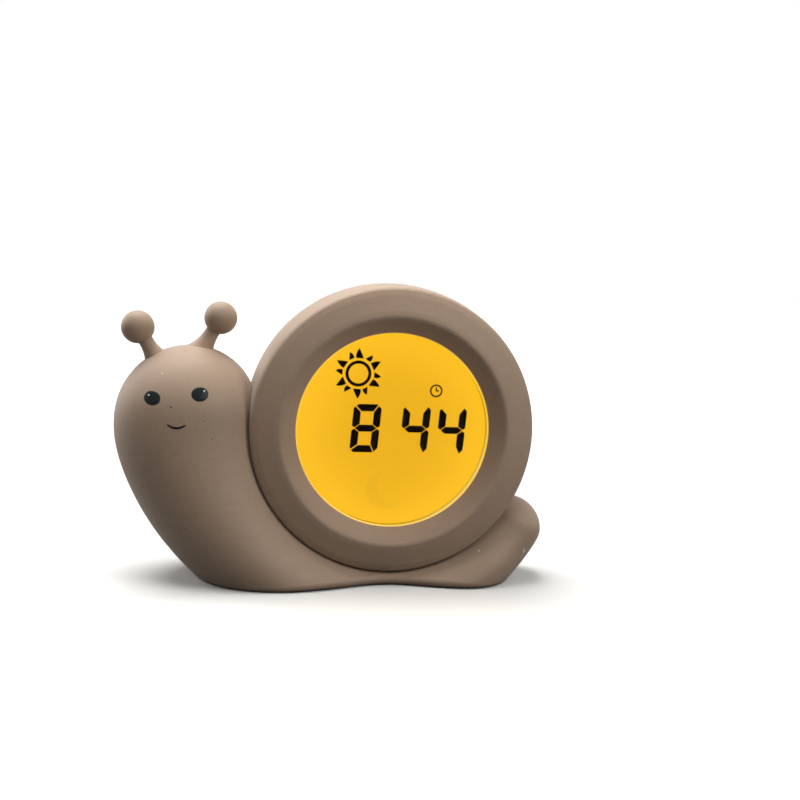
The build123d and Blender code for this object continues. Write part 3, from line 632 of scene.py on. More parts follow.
@dataclass(frozen=True)
class Rub:
    """An edge that hands have rubbed paler, in patches."""

    edge: Edge
    width: float = 1.1 * MM
    strength: float = 0.35
    worn: Patches = Patches(Cloud(4 * MM, 5.0), (0.35, 0.8), 1.6)

    def over(self, sheet: Sheet, colour: Socket, paint: Colour) -> Socket:
        """Lays the wear over a colour.

        Args:
            sheet: the material's sheet.
            colour: the colour's socket.
            paint: the paint's own colour.

        Returns:
            The new colour's socket.
        """
        near = sheet.ramp(sheet.from_edge(self.edge), self.width, 0.0)
        share = sheet.product(near, sheet.patches(self.worn), self.strength)
        return sheet.blend(share, colour, shade(paint, self.worn.factor))


@dataclass(frozen=True)
class Spill:
    """Painted light of the display, emitted by the paint: strong at the opening's edge, faint over the
    funnel.
    """

    edge: Edge
    width: float = 0.5 * MM
    reach: float = 7.5 * MM
    colour: Colour = (1.0, 0.66, 0.03)
    strength: float = 0.9
    haze_colour: Colour = (1.0, 0.36, 0.1)
    haze: float = 0.055

    def light(self, sheet: Sheet) -> None:
        """Makes the paint ahead of the display's glass glow with painted light.

        The painted light on the edge and the haze each fade with the distance from the drum's axis.

        Args:
            sheet: the material's sheet.
        """
        away = sheet.from_axis()
        start = self.edge.radius
        near = sheet.ramp(away, start + self.width, start)
        far = sheet.ramp(away, start + self.reach, start - self.reach)
        ahead = sheet.math("LESS_THAN", sheet.along(1), self.edge.depth)
        caught = sheet.math("MULTIPLY_ADD", near, self.strength, sheet.product(far, self.haze))
        sheet.put("Emission Color", sheet.blend(near, self.haze_colour, self.colour))
        sheet.put("Emission Strength", sheet.product(caught, ahead))


@dataclass(frozen=True)
class Softened:
    """An edge whose paint is rounded further than the moulding: how wide and how deep."""

    edge: Edge
    width: float
    drop: float

    def sink(self, sheet: Sheet) -> None:
        """Sinks the surface towards the edge."""
        sheet.bump(sheet.ramp(sheet.from_edge(self.edge), self.width, 0.0), -self.drop)


@dataclass(frozen=True)
class SoftTouch:
    """Matt soft-touch paint on moulded plastic: fine grain, faint blotches, dust and small chips."""

    name: str
    colour: Colour
    chipped: bool = True
    rub: Rub | None = None
    # painted light of the display, which the paint itself emits
    spill: Spill | None = None
    softened: tuple[Softened, ...] = ()
    roughness: Span = (0.55, 0.71)
    blotches: Cloud = Cloud(17 * MM, 4.0)
    mottle: float = 0.07
    flow: Patches = Patches(Cloud(6 * MM, 5.0, (0.6, 1.0, 2.2)), (0.5, 0.8), 1.07)
    dust: Patches = Patches(Cloud(1.1 * MM, 4.0), (0.55, 0.75), 0.86)
    # the paint is darker towards the bottom, in noise patches, between the heights given next
    bottom_darkening: Patches = Patches(Cloud(6 * MM), (0.3, 0.75), 0.55)
    bottom_darkening_heights: Span = (5 * MM, 0.5 * MM)
    bottom_darkening_strength: float = 0.35
    pits: Flecks = Flecks(13 * MM, 0.32 * MM, 0.16, 0.8)
    pit_factor: float = 0.28
    chips: Flecks = Flecks(19 * MM, 0.42 * MM, 0.10, 0.75)
    chip_colour: Colour = (0.72, 0.66, 0.58)
    grain: Cloud = Cloud(0.6 * MM, 2.0)
    grain_depth: float = 0.022 * MM
    blotch_relief: float = 0.4
    bend: float = 1.42
    sheen: float = 0.18
    sheen_roughness: float = 0.55

    def build(self) -> Material:
        """Makes the material.

        Returns:
            The material.
        """
        sheet = Sheet(self.name)
        blotches = sheet.noise(self.blotches)
        sheet.put("Base Color", self.worn_colour(sheet, blotches))
        sheet.roughen(blotches, *self.roughness)
        # painted light: the paint glows as if lit by the display
        if self.spill:
            self.spill.light(sheet)
        for edge in self.softened:
            edge.sink(sheet)
        relief = sheet.math("MULTIPLY_ADD", blotches, self.blotch_relief, sheet.noise(self.grain))
        sheet.bump(relief, self.grain_depth)
        sheet.put("IOR", self.bend)
        sheet.put("Sheen Weight", self.sheen)
        sheet.put("Sheen Roughness", self.sheen_roughness)
        return sheet.material

    def worn_colour(self, sheet: Sheet, blotches: Socket) -> Socket:
        """The paint's colour with its blotches, dust, darkening towards the bottom, chips and rubbed edge.

        Args:
            sheet: the material's sheet.
            blotches: the pattern of the blotches.

        Returns:
            The colour's socket.
        """
        colour = sheet.mottle(blotches, self.colour, self.mottle)
        for patches in (self.flow, self.dust):
            colour = sheet.blend(sheet.patches(patches), colour, shade(self.colour, patches.factor))
        # darker towards the bottom, in noise patches
        low = sheet.ramp(sheet.along(2), *self.bottom_darkening_heights)
        bottom_darkening = sheet.product(low, sheet.patches(self.bottom_darkening), self.bottom_darkening_strength)
        colour = sheet.blend(bottom_darkening, colour, shade(self.colour, self.bottom_darkening.factor))
        if self.chipped:
            colour = sheet.blend(sheet.spots(self.pits), colour, shade(self.colour, self.pit_factor))
            colour = sheet.blend(sheet.spots(self.chips), colour, self.chip_colour)
        if self.rub:
            colour = self.rub.over(sheet, colour, self.colour)
        return colour


@dataclass(frozen=True)
class Plain:
    """Bare moulded plastic, rubber, paper or ink: colour with faint clouds and a grain."""

    name: str
    colour: Colour
    roughness: float = 0.5
    mottle: float = 0.06
    coat: float = 0.0
    shine: float = 0.5
    clouds: Cloud = Cloud(8 * MM, 4.0)
    spread: Span = (-0.06, 0.08)
    grain: Cloud = Cloud(0.5 * MM, 2.0)
    grain_depth: float = 0.01 * MM
    coat_roughness: float = 0.12

    def build(self) -> Material:
        """Makes the material.

        Returns:
            The material.
        """
        sheet = Sheet(self.name)
        clouds = sheet.noise(self.clouds)
        sheet.put("Base Color", sheet.mottle(clouds, self.colour, self.mottle))
        sheet.roughen(clouds, *(self.roughness + part for part in self.spread))
        sheet.bump(sheet.noise(self.grain), self.grain_depth)
        sheet.put("Specular IOR Level", self.shine)
        sheet.put("Coat Weight", self.coat)
        sheet.put("Coat Roughness", self.coat_roughness)
        return sheet.material


@dataclass(frozen=True)
class Sleeve:
    """Film round a battery cell along X, with a pale band near one end and bare steel ends."""

    name: str
    start: float
    end: float
    film: Colour = (0.02, 0.055, 0.05)
    band: Colour = (0.62, 0.6, 0.52)
    steel: Colour = (0.6, 0.6, 0.58)
    bare: float = 1.1 * MM
    band_width: float = 9.0 * MM
    blur: float = 0.05 * MM
    clouds: Cloud = Cloud(7 * MM)
    mottle: float = 0.1
    roughness: Span = (0.22, 0.36)
    waves: float = 0.1
    film_depth: float = 0.08 * MM

    def build(self) -> Material:
        """Makes the material.

        Returns:
            The material.
        """
        sheet = Sheet(self.name)
        clouds = sheet.noise(self.clouds)
        film = sheet.mottle(clouds, self.film, self.mottle)
        colour = sheet.blend(self.beyond(sheet, self.start + self.band_width, -1), film, self.band)
        low = self.beyond(sheet, self.start + self.bare, -1)
        high = self.beyond(sheet, self.end - self.bare, 1)
        bare = sheet.math("MAXIMUM", low, high)
        sheet.put("Base Color", sheet.blend(bare, colour, self.steel))
        sheet.put("Metallic", bare)
        sheet.roughen(clouds, *self.roughness)
        sheet.bump(sheet.math("MAXIMUM", bare, sheet.product(clouds, self.waves)), -self.film_depth)
        return sheet.material

    def beyond(self, sheet: Sheet, x: float, way: int) -> Socket:
        """1 past a place along the cell and 0 before it, with a narrow soft edge.

        Args:
            sheet: the material's sheet.
            x: the place.
            way: 1 to look along X and -1 to look back.

        Returns:
            The result's socket.
        """
        return sheet.ramp(sheet.along(0), x - way * self.blur, x + way * self.blur)


@dataclass(frozen=True)
class Metal:
    """Plated steel with fine drawn lines and dull patches."""

    name: str
    colour: Colour
    roughness: float = 0.3
    lines: Cloud = Cloud(0.9 * MM, 3.0, (1.0, 1.0, 14.0))
    line_depth: float = 0.004 * MM
    spread: Span = (-0.08, 0.14)
    dull: Cloud = Cloud(3 * MM)
    dull_factor: float = 0.82

    def build(self) -> Material:
        """Makes the material.

        Returns:
            The material.
        """
        sheet = Sheet(self.name)
        lines = sheet.noise(self.lines)
        dull = sheet.noise(self.dull)
        sheet.put("Base Color", sheet.blend(dull, shade(self.colour, self.dull_factor), self.colour))
        sheet.roughen(lines, *(self.roughness + part for part in self.spread))
        sheet.bump(lines, self.line_depth)
        sheet.put("Metallic", 1.0)
        return sheet.material


@dataclass(frozen=True)
class Clear:
    """Clear moulded or drawn sheet that what lies behind it shows through."""

    name: str
    roughness: float
    bend: float
    smears: Cloud = Cloud(14 * MM, 4.0)
    smear_factors: Span = (0.6, 1.5)
    waves: Cloud = Cloud(5 * MM, 1.0)
    wave_depth: float = 0.002 * MM

    def build(self) -> Material:
        """Makes the material.

        Returns:
            The material.
        """
        sheet = Sheet(self.name)
        sheet.put("Base Color", (1.0, 1.0, 1.0))
        sheet.roughen(sheet.noise(self.smears), *(self.roughness * part for part in self.smear_factors))
        sheet.bump(sheet.noise(self.waves), self.wave_depth)
        sheet.put("IOR", self.bend)
        sheet.put("Transmission Weight", 1.0)
        return sheet.material


@dataclass(frozen=True)
class Margin:
    """The panel past the opening's edge: a fine dark line of painted shade, a paler border of painted light.
    """

    radius: float
    colour: Colour = (1.0, 0.75, 0.25)
    step: float = 0.3 * MM
    line_widths: Span = (0.4 * MM, 0.12 * MM)
    line_strength: float = 0.7
    line_factor: float = 0.5

    def over(self, sheet: Sheet, light: Socket, panel: Colour) -> Socket:
        """Lays the strip's painted shade and painted light over the panel's light.

        Args:
            sheet: the material's sheet.
            light: the light's socket.
            panel: the panel's own colour.

        Returns:
            The new light's socket.
        """
        beyond = sheet.math("SUBTRACT", sheet.from_axis(), self.radius)
        line = sheet.ramp(sheet.math("ABSOLUTE", beyond), *self.line_widths)
        light = sheet.blend(sheet.ramp(beyond, 0.0, self.step), light, self.colour)
        return sheet.blend(sheet.product(line, self.line_strength), light, shade(panel, self.line_factor))


@dataclass(frozen=True)
class Ghost:
    """A mark that is off and shows as a faint shade: a crescent, one disc less another beside it.

    The centre is given by X and by the height above the drum's axis.
    """

    centre: Place = (-1.6 * MM, -25.6 * MM)
    radius: float = 8.3 * MM
    shift: Place = (3.6 * MM, 2.0 * MM)
    bite: float = 0.86
    strength: float = 0.07
    factor: float = 0.3

    def over(self, sheet: Sheet, light: Socket, panel: Colour) -> Socket:
        """Lays the mark over the panel's light.

        Args:
            sheet: the material's sheet.
            light: the light's socket.
            panel: the panel's own colour.

        Returns:
            The new light's socket.
        """
        x, z = self.centre[0], self.centre[1] + Axis.height
        whole = sheet.disc((x, z), self.radius)
        taken = sheet.disc((x + self.shift[0], z + self.shift[1]), self.bite * self.radius)
        crescent = sheet.product(whole, sheet.math("SUBTRACT", 1.0, taken), self.strength)
        return sheet.blend(crescent, light, shade(panel, self.factor))


@dataclass(frozen=True)
class Glow:
    """A round sheet lit from its edges: deepest in its middle and brightest near its rim."""

    name: str
    middle: Colour
    rim: Colour
    strength: float = 1.0
    marks: tuple[Margin | Ghost, ...] = ()
    clouds: Cloud = Cloud(26 * MM)
    cloud_weight: float = 0.35
    limits: Span = (0.12, 1.25)
    motes: Flecks = Flecks(11 * MM, 0.35 * MM, 0.2, 0.35)
    mote_factor: float = 0.6
    unlit: Colour = (0.05, 0.035, 0.01)
    roughness: Span = (0.35, 0.5)
    grain: Cloud = Cloud(0.5 * MM, 1.0)
    grain_depth: float = 0.002 * MM
    shine: float = 0.1

    def build(self) -> Material:
        """Makes the material: its light grows with the square of the way to the window's edge.

        Returns:
            The material.
        """
        sheet = Sheet(self.name)
        clouds = sheet.noise(self.clouds)
        outward = sheet.math("DIVIDE", sheet.from_axis(), Axis.window_radius)
        lit = sheet.math("MULTIPLY_ADD", clouds, self.cloud_weight, sheet.product(outward, outward))
        light = sheet.blend(sheet.ramp(lit, *self.limits), self.middle, self.rim)
        light = sheet.blend(sheet.spots(self.motes), light, shade(self.middle, self.mote_factor))
        for mark in self.marks:
            light = mark.over(sheet, light, self.middle)
        sheet.put("Emission Color", light)
        sheet.put("Emission Strength", self.strength)
        sheet.put("Base Color", self.unlit)
        sheet.roughen(clouds, *self.roughness)
        sheet.bump(sheet.noise(self.grain), self.grain_depth)
        sheet.put("Specular IOR Level", self.shine)
        return sheet.material


def dress(finish: Finish, *nodes: str) -> None:
    """Gives solids their finish in place of the plain one they came with.

    Args:
        finish: the finish, made once for all of them.
        nodes: names of the solids.
    """
    material = finish.build()
    for node in nodes:
        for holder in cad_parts[node].material_slots:
            holder.material = material
        log.info("%s: dressed in %s", node, material.name)


def ease(node: str, gap: float) -> None:
    """Draws a solid's faces in by a hair, so that clear sheets that touch are seen one by one.

    Args:
        node: name of the solid.
        gap: how far its surface moves in.
    """
    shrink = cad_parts[node].modifiers.new("ease", "DISPLACE")
    shrink.strength = -gap
    shrink.mid_level = 0.0


@dataclass(frozen=True)
class CrossRecess:
    """The cross in each screw head of a node, seen from the rear: dark plates of painted shade."""

    half_length: float = 1.35 * MM
    width: float = 0.62 * MM
    proud: float = 0.01 * MM
    sunk: float = 0.2 * MM
    turn: float = 0.4
    head_reach: float = 4 * MM
    level_slack: float = 0.01 * MM
    # the painted shade that stands for the dark inside of each recess
    colour: Colour = (0.03, 0.03, 0.03)

    def add(self, node: str, finish: str, body: str = "root") -> None:
        """Marks each screw head of a node with two dark strokes of painted shade that cross at right angles.

        Args:
            node: name of the screws' node.
            finish: name of the material of the painted shade in the recesses.
            body: body that the screws belong to.
        """
        heads, level = self.heads(node)
        depths = (level + self.proud, level - self.sunk)
        slots = []
        for x, z in heads:
            for turn in (self.turn, self.turn + math.pi / 2):
                across, up = self.half_length * math.cos(turn), self.half_length * math.sin(turn)
                slots.append(stroke_plate((x - across, z - up), (x + across, z + up), self.width, depths))
        make_piece(f"{node}_recess_painted_shade", join_shells(slots), Plain(finish, self.colour).build(), body)

    def heads(self, node: str) -> tuple[list[Place], float]:
        """Finds the heads: the rearmost points, in groups that lie within a head's reach.

        Args:
            node: name of the screws' node.

        Returns:
            X and Z of each head's centre, and the Y of all the heads.
        """
        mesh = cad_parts[node].data
        points = np.empty(3 * len(mesh.vertices))
        mesh.vertices.foreach_get("co", points)
        points = points.reshape(-1, 3)
        level = points[:, 1].max()
        left = points[points[:, 1] > level - self.level_slack][:, [0, 2]]
        centres = []
        while len(left):
            near = np.linalg.norm(left - left[0], axis=1) < self.head_reach
            centres.append(tuple((left[near].min(axis=0) + left[near].max(axis=0)) / 2))
            left = left[~near]
        return centres, level


# ---- sub-assemblies ----


@dataclass(frozen=True)
class Eye:
    """One eye: its centre on the head and its half width and height.

    The highlight's place is given from the centre, in shares of those two.
    """

    name: str
    centre: Place
    half_size: Place
    glint: Place


@dataclass(frozen=True)
class Flaw:
    """A small speck of dirt or a chip in the paint: X and Z of its middle, width and height."""

    centre: Place
    size: Place


@dataclass
class SnailBody:
    """The two housings, antennae, pad and the face printed on the head."""

    colour: Colour = TAUPE
    eyes: tuple[Eye, ...] = (
        Eye("eye_left", (-98.2 * MM, 77.05 * MM), (3.25 * MM, 2.75 * MM), (-0.42, 0.36)),
        Eye("eye_right", (-79.65 * MM, 79.25 * MM), (3.35 * MM, 2.75 * MM), (0.5, 0.45)),
    )
    eye_rise: float = 0.35 * MM
    glint_radius: float = 0.42 * MM
    glint_rise: float = 0.12 * MM
    dome_root: float = 0.3 * MM
    dome_points: int = 64
    # how far each ring of a dome has climbed, in degrees; the first one is its root
    dome_climb: tuple[float, ...] = (-90, 0, 12, 26, 42, 58, 72, 83)
    mouth_centre: Place = (-88.5 * MM, 66.0 * MM)
    mouth_half_width: float = 3.6 * MM
    mouth_lift: float = 1.35 * MM
    mouth_stroke: float = 0.42 * MM
    # the power with which the mouth thins to its ends, and the share of its radius that is proud
    mouth_thinning: float = 0.25
    mouth_proud: float = 0.5
    mouth_steps: int = 40
    mouth_points: int = 16
    specks: tuple[Flaw, ...] = (
        Flaw((-90.8 * MM, 74.1 * MM), (0.75 * MM, 0.7 * MM)),
        Flaw((-74.4 * MM, 61.8 * MM), (0.5 * MM, 0.5 * MM)),
        Flaw((-77.5 * MM, 68.8 * MM), (0.4 * MM, 0.35 * MM)),
    )
    chips: tuple[Flaw, ...] = (
        Flaw((58.95 * MM, 14.2 * MM), (1.05 * MM, 2.2 * MM)),
        Flaw((38.35 * MM, 15.0 * MM), (0.75 * MM, 0.6 * MM)),
        Flaw((-94.5 * MM, 86.5 * MM), (0.5 * MM, 0.35 * MM)),
    )
    flaw_rise: float = 0.03 * MM

    def build(self) -> None:
        """Dresses the body and adds its face and its flaws."""
        paint = SoftTouch("body_paint", self.colour)
        dress(paint, "body_front", "body_rear", "antenna_left", "antenna_right")
        dress(Plain("pad_rubber", (0.03, 0.028, 0.026), roughness=0.8), "base_pad")
        dress(Metal("zinc_plate", ZINC), "body_screws")
        CrossRecess().add("body_screws", "body_recess_painted_shade")
        self.add_eyes()
        ink = Plain("mouth_ink", (0.005, 0.004, 0.004), roughness=0.6, mottle=0.2, shine=0.05)
        make_piece("mouth", self.smile(), ink.build())
        self.add_flaws("speck", self.specks, Plain("speck_dirt", (0.03, 0.02, 0.015), roughness=0.8))
        self.add_flaws("chip", self.chips, Plain("bare_chip", (0.66, 0.57, 0.49), roughness=0.6))

    def add_eyes(self) -> None:
        """Adds both eyes, each with its highlight."""
        ink = Plain("eye_lacquer", (0.007, 0.01, 0.01), roughness=0.32, mottle=0.2, shine=0.12).build()
        glint_ink = Plain("glint_ink", (0.62, 0.62, 0.6), roughness=0.35).build()
        radii = (self.glint_radius, self.glint_radius)
        for eye in self.eyes:
            make_piece(eye.name, self.dome(eye.centre, eye.half_size, self.eye_rise), ink)
            shift = np.multiply(eye.glint, eye.half_size)
            glint = self.dome(tuple(eye.centre + shift), radii, self.eye_rise + self.glint_rise)
            make_piece(f"{eye.name}_glint", glint, glint_ink)

    def add_flaws(self, name: str, flaws: tuple[Flaw, ...], finish: Finish) -> None:
        """Adds flaws of one kind, numbered from 0.

        Args:
            name: what a flaw of this kind is called.
            flaws: their places and sizes.
            finish: what they are made of.
        """
        material = finish.build()
        for number, flaw in enumerate(flaws):
            half_size = tuple(np.divide(flaw.size, 2))
            make_piece(f"{name}_{number}", self.dome(flaw.centre, half_size, self.flaw_rise), material)

    def dome(self, centre: Place, half_size: Place, rise: float) -> Shell:
        """A shallow oval dome on the head.

        Its rings shrink from the rim as a cosine and rise from the head as a sine, so that it
        meets the head steeply and is flat on top; below the rim it goes straight into the head.

        Args:
            centre: X and Z of its middle.
            half_size: half width and half height.
            rise: height of its top above the head.

        Returns:
            The closed dome.
        """
        climb = np.radians(np.array(self.dome_climb))[:, None]
        circle = unit_circle(self.dome_points)
        spread = np.where(climb < 0, 1.0, np.cos(climb))
        x = centre[0] + half_size[0] * spread * circle[:, 0]
        z = centre[1] + half_size[1] * spread * circle[:, 1]
        lift = np.where(climb < 0, -self.dome_root, rise * np.sin(climb))
        rows = np.stack([x, surface_depth("body_front", x, z) - lift, z], axis=-1)
        middle = surface_depth("body_front", np.array([centre[0]]), np.array([centre[1]]))[0]
        top = np.array([centre[0], middle - rise, centre[1]])
        root = np.array([centre[0], middle + self.dome_root, centre[1]])
        return capped_rows(rows, root, top)

    def smile(self) -> Shell:
        """The mouth: a round stroke along a parabola that is lowest in its middle.

        At each step along the parabola a circle stands across it, thinned at both ends as the
        fourth root of what is left, and half sunk in the head. The steps follow a sine, so
        that they crowd at the ends.

        Returns:
            The closed stroke.
        """
        turns = np.linspace(-math.pi / 2, math.pi / 2, self.mouth_steps + 2)
        step = np.sin(turns[1:-1])[:, None]
        circle = unit_circle(self.mouth_points)
        x = self.mouth_centre[0] + self.mouth_half_width * step
        z = self.mouth_centre[1] + self.mouth_lift * step**2
        slope = 2 * self.mouth_lift * step / self.mouth_half_width
        across = np.sqrt(1 + slope**2)
        radius = self.mouth_stroke * (1 - step**2) ** self.mouth_thinning
        side = radius * circle[:, 0]
        around_x = x - side * slope / across
        around_z = z + side / across
        proud = self.mouth_proud * radius * circle[:, 1]
        depth = surface_depth("body_front", around_x, around_z) - proud
        rows = np.stack([around_x, depth, around_z], axis=-1)
        return capped_rows(rows, rows[0].mean(axis=0), rows[-1].mean(axis=0))


@dataclass
class ShellHousing:
    """The drum's front ring and rear cover, with their screws."""

    colour: Colour = TAUPE
    cover_factor: float = 0.98
    rim_inset: float = 1.7 * MM
    rim_back: float = 4.4 * MM
    crest_inset: float = 13.1 * MM
    rim_soft: Span = (3.4 * MM, 0.4 * MM)
    crest_soft: Span = (3.0 * MM, 0.24 * MM)

    def build(self) -> None:
        """Dresses both housings."""
        rim = Edge(Axis.radius - self.rim_inset, Axis.front + self.rim_back)
        crest = Edge(Axis.radius - self.crest_inset, Axis.front)
        softened = (Softened(rim, *self.rim_soft), Softened(crest, *self.crest_soft))
        # painted light of the display, emitted by the ring's paint round the opening
        spill = Spill(Edge(Axis.opening, Axis.glass_front))
        dress(
            SoftTouch("ring_paint", self.colour, rub=Rub(rim), spill=spill, softened=softened),
            "shell_ring",
        )
        dress(SoftTouch("cover_paint", shade(self.colour, self.cover_factor)), "shell_back")
        dress(Metal("cover_screw_plate", (0.5, 0.51, 0.52)), "shell_screws")
        CrossRecess().add("shell_screws", "cover_recess_painted_shade")


class Segment(Enum):
    """The seven bars of a digit, named as on any seven-bar display."""

    TOP = "a"
    UPPER_RIGHT = "b"
    LOWER_RIGHT = "c"
    BOTTOM = "d"
    LOWER_LEFT = "e"
    UPPER_LEFT = "f"
    MIDDLE = "g"


EIGHT = tuple(Segment)
FOUR = (Segment.UPPER_LEFT, Segment.UPPER_RIGHT, Segment.MIDDLE, Segment.LOWER_RIGHT)
LEVEL_BARS = (Segment.TOP, Segment.BOTTOM)
HIGH_BARS = (Segment.TOP, Segment.UPPER_LEFT, Segment.UPPER_RIGHT)
RIGHT_BARS = (Segment.UPPER_RIGHT, Segment.LOWER_RIGHT)


@dataclass(frozen=True)
class Digit:
    """One digit: its name, X and height above the drum's axis of its low left corner, its bars."""

    name: str
    place: Place
    bars: tuple[Segment, ...]


@dataclass(frozen=True)
class Corner:
    """How a digit's corner is cut, in bar widths from the corner, across first and then along.

    The upright's side ends at `side` and its tip is at `upright`; the level bar's tip is at
    `level` and its edge begins at `edge`.
    """

    side: float
    upright: Place
    level: Place
    edge: float


@dataclass
class Display:
    """The lit display: window, glasses, light guide and what the glass shows."""

    glass_gap: float = 0.05 * MM
    print_thickness: float = 0.02 * MM
    print_gap: float = 0.015 * MM
    digits: tuple[Digit, ...] = (
        Digit("digit_hour", (-17.65 * MM, -9.85 * MM), EIGHT),
        Digit("digit_tens", (3.3 * MM, -9.85 * MM), FOUR),
        Digit("digit_ones", (18.8 * MM, -10.1 * MM), FOUR),
    )
    digit_size: Place = (11.75 * MM, 20.2 * MM)
    # how far a digit leans to the right, as a share of the height
    slant: float = 0.07
    bar: float = 3.12 * MM
    # how a digit's corners are cut, by side and end: left or right, low or high
    corners: tuple[tuple[Corner, Corner], tuple[Corner, Corner]] = (
        (Corner(0.68, (0.12, 0.4), (0.2, 0.28), 0.5), Corner(0.55, (0.22, 0.33), (0.32, 0.21), 0.68)),
        (Corner(0.62, (0.46, 0.07), (0.57, 0.03), 0.62), Corner(0.64, (0.4, 0.2), (0.51, 0.09), 0.62)),
    )
    # in bar widths: a level bar's thickness and inner corners, and an upright's inner corner
    level_thickness: float = 0.95
    level_inner: float = 1.07
    upright_inner: float = 1.08
    # in bar widths: gaps from the digit's middle to an upright's inner side, tip and outer side,
    # where the tip also has its place across
    upright_gap: float = 0.55
    upright_tip: Place = (0.34, 0.07)
    outer_gap: float = 0.35
    # in bar widths: the places across of the middle bar's tip and shoulder
    middle_tip: float = 0.42
    middle_shoulder: float = 1.0
    # half the middle bar's thickness, as a share of a level bar's
    middle_half: float = 0.48
    sun_centre: Place = (-15.0 * MM, 23.0 * MM)
    sun_ring: Span = (5.4 * MM, 1.28 * MM)
    rays: int = 12
    # for the long rays and the short ones: where they start and end, half their width, the power
    # with which it is lost, and the way they lean
    ray_feet: Span = (6.6 * MM, 6.75 * MM)
    ray_tips: Span = (10.55 * MM, 9.6 * MM)
    ray_half_widths: Span = (1.62 * MM, 1.12 * MM)
    ray_fullness: Span = (1.5, 1.9)
    ray_senses: Span = (1.0, -1.0)
    # in radians: how far a ray's foot is behind its direction, and how it sweeps and hooks back
    ray_lag: float = 0.058
    ray_sweep: float = 0.18
    ray_hook: float = 0.135
    ray_steps: int = 24
    # the share of the way to its tip at which a ray is cut off, so that its end keeps some width
    ray_end: float = 0.99
    icon_centre: Place = (18.15 * MM, 16.6 * MM)
    icon_ring: Span = (2.7 * MM, 0.66 * MM)
    icon_hands: Place = (1.5 * MM, 1.15 * MM)
    # the hands' width, as a share of the ring's stroke
    icon_hand_width: float = 0.8

    def build(self) -> None:
        """Dresses the stack and lays the display's marks between its glasses."""
        dress(Clear("window_acrylic", roughness=0.03, bend=1.14), "display_window")
        dress(Clear("front_glass", roughness=0.02, bend=1.08), "lcd_front_glass")
        ease("lcd_front_glass", self.glass_gap)
        # the margin paints shade and light at the window's edge; the ghost is the unlit mark
        marks = (Margin(Axis.opening), Ghost())
        dress(Glow("lit_panel", (0.83, 0.42, 0.004), (1.0, 0.54, 0.012), marks=marks), "lcd_rear_glass")
        dress(Glow("lit_diffuser", (0.85, 0.5, 0.05), (0.95, 0.6, 0.08), strength=0.8), "diffuser")
        dress(Glow("lit_guide", (0.6, 0.4, 0.1), (0.8, 0.55, 0.15), strength=0.5), "light_guide")
        lamp = (1.0, 0.8, 0.35)
        dress(Glow("lit_lamps", lamp, lamp), "light_strip_left", "light_strip_right")
        dress(Plain("white_moulding", (0.76, 0.76, 0.73), roughness=0.45), "reflector", "display_tray")
        dress(Metal("tray_screw_plate", ZINC), "tray_screws")
        dress(Plain("connector_rubber", (0.45, 0.16, 0.2), roughness=0.7), "zebra_strip")
        ink = Plain("display_ink", (0.009, 0.003, 0.001), roughness=0.6, mottle=0.2, shine=0.0).build()
        for digit in self.digits:
            make_piece(digit.name, self.digit(digit), ink)
        make_piece("sun_mark", self.sun(), ink)
        thin_ink = Plain("thin_ink", (0.035, 0.011, 0.002), roughness=0.6, mottle=0.2, shine=0.0)
        make_piece("clock_mark", self.clock_mark(), thin_ink.build())

    def depths(self) -> Span:
        """Y of the front and back of a printed mark, just in front of the rear glass."""
        back = Axis.print_depth - self.print_gap
        return back - self.print_thickness, back

    def digit(self, digit: Digit) -> Shell:
        """A digit of leaning bars, each a plate with mitred ends.

        The bars are worked out upright, from the digit's edges. Those of the upper half are
        turned over from below, and all lean to the right in proportion to their height.

        Args:
            digit: which digit.

        Returns:
            The closed plates.
        """
        shells = []
        for segment in digit.bars:
            high = segment in HIGH_BARS
            if segment in LEVEL_BARS:
                outline = self.level_bar(high)
            elif segment is Segment.MIDDLE:
                outline = self.middle_bar()
            else:
                outline = self.upright_bar(segment in RIGHT_BARS, high)
            if high:
                outline[:, 1] = self.digit_size[1] - outline[:, 1]
            outline[:, 0] += digit.place[0] + self.slant * outline[:, 1]
            outline[:, 1] += digit.place[1] + Axis.height
            shells.append(prism(outline, self.depths()))
        return join_shells(shells)

    def level_bar(self, high: bool) -> np.ndarray:
        """Corners of the bottom bar: its edge, a tip at each end and its inner side.

        Args:
            high: True gives it the cuts of the digit's upper corners.

        Returns:
            X and Z of six corners.
        """
        left, right = (side[high] for side in self.corners)
        width = self.digit_size[0] / self.bar
        corners = (
            (left.edge, 0.0),
            left.level,
            (self.level_inner, self.level_thickness),
            (width - self.level_inner, self.level_thickness),
            (width - right.level[0], right.level[1]),
            (width - right.edge, 0.0),
        )
        return np.multiply(corners, self.bar)

    def middle_bar(self) -> np.ndarray:
        """Corners of the middle bar: a tip at each end and two shoulders beside it.

        Returns:
            X and Z of six corners.
        """
        width, height = np.divide(self.digit_size, self.bar)
        half = self.middle_half * self.level_thickness
        corners = (
            (self.middle_tip, height / 2),
            (self.middle_shoulder, height / 2 + half),
            (width - self.middle_shoulder, height / 2 + half),
            (width - self.middle_tip, height / 2),
            (width - self.middle_shoulder, height / 2 - half),
            (self.middle_shoulder, height / 2 - half),
        )
        return np.multiply(corners, self.bar)

    def upright_bar(self, right: bool, high: bool) -> np.ndarray:
        """Corners of a lower upright bar: its outer side, the tips and its inner side.

        Args:
            right: True for the bar on the digit's right.
            high: True gives it the cuts of the digit's upper corners.

        Returns:
            X and Z of six corners.
        """
        corner = self.corners[right][high]
        width, height = np.divide(self.digit_size, self.bar)
        corners = (
            (0.0, corner.side),
            corner.upright,
            (1.0, self.upright_inner),
            (1.0, height / 2 - self.upright_gap),
            (self.upright_tip[0], height / 2 - self.upright_tip[1]),
            (0.0, height / 2 - self.outer_gap),
        )
        outline = np.array(corners)
        if right:
            outline[:, 0] = width - outline[:, 0]
        return outline * self.bar

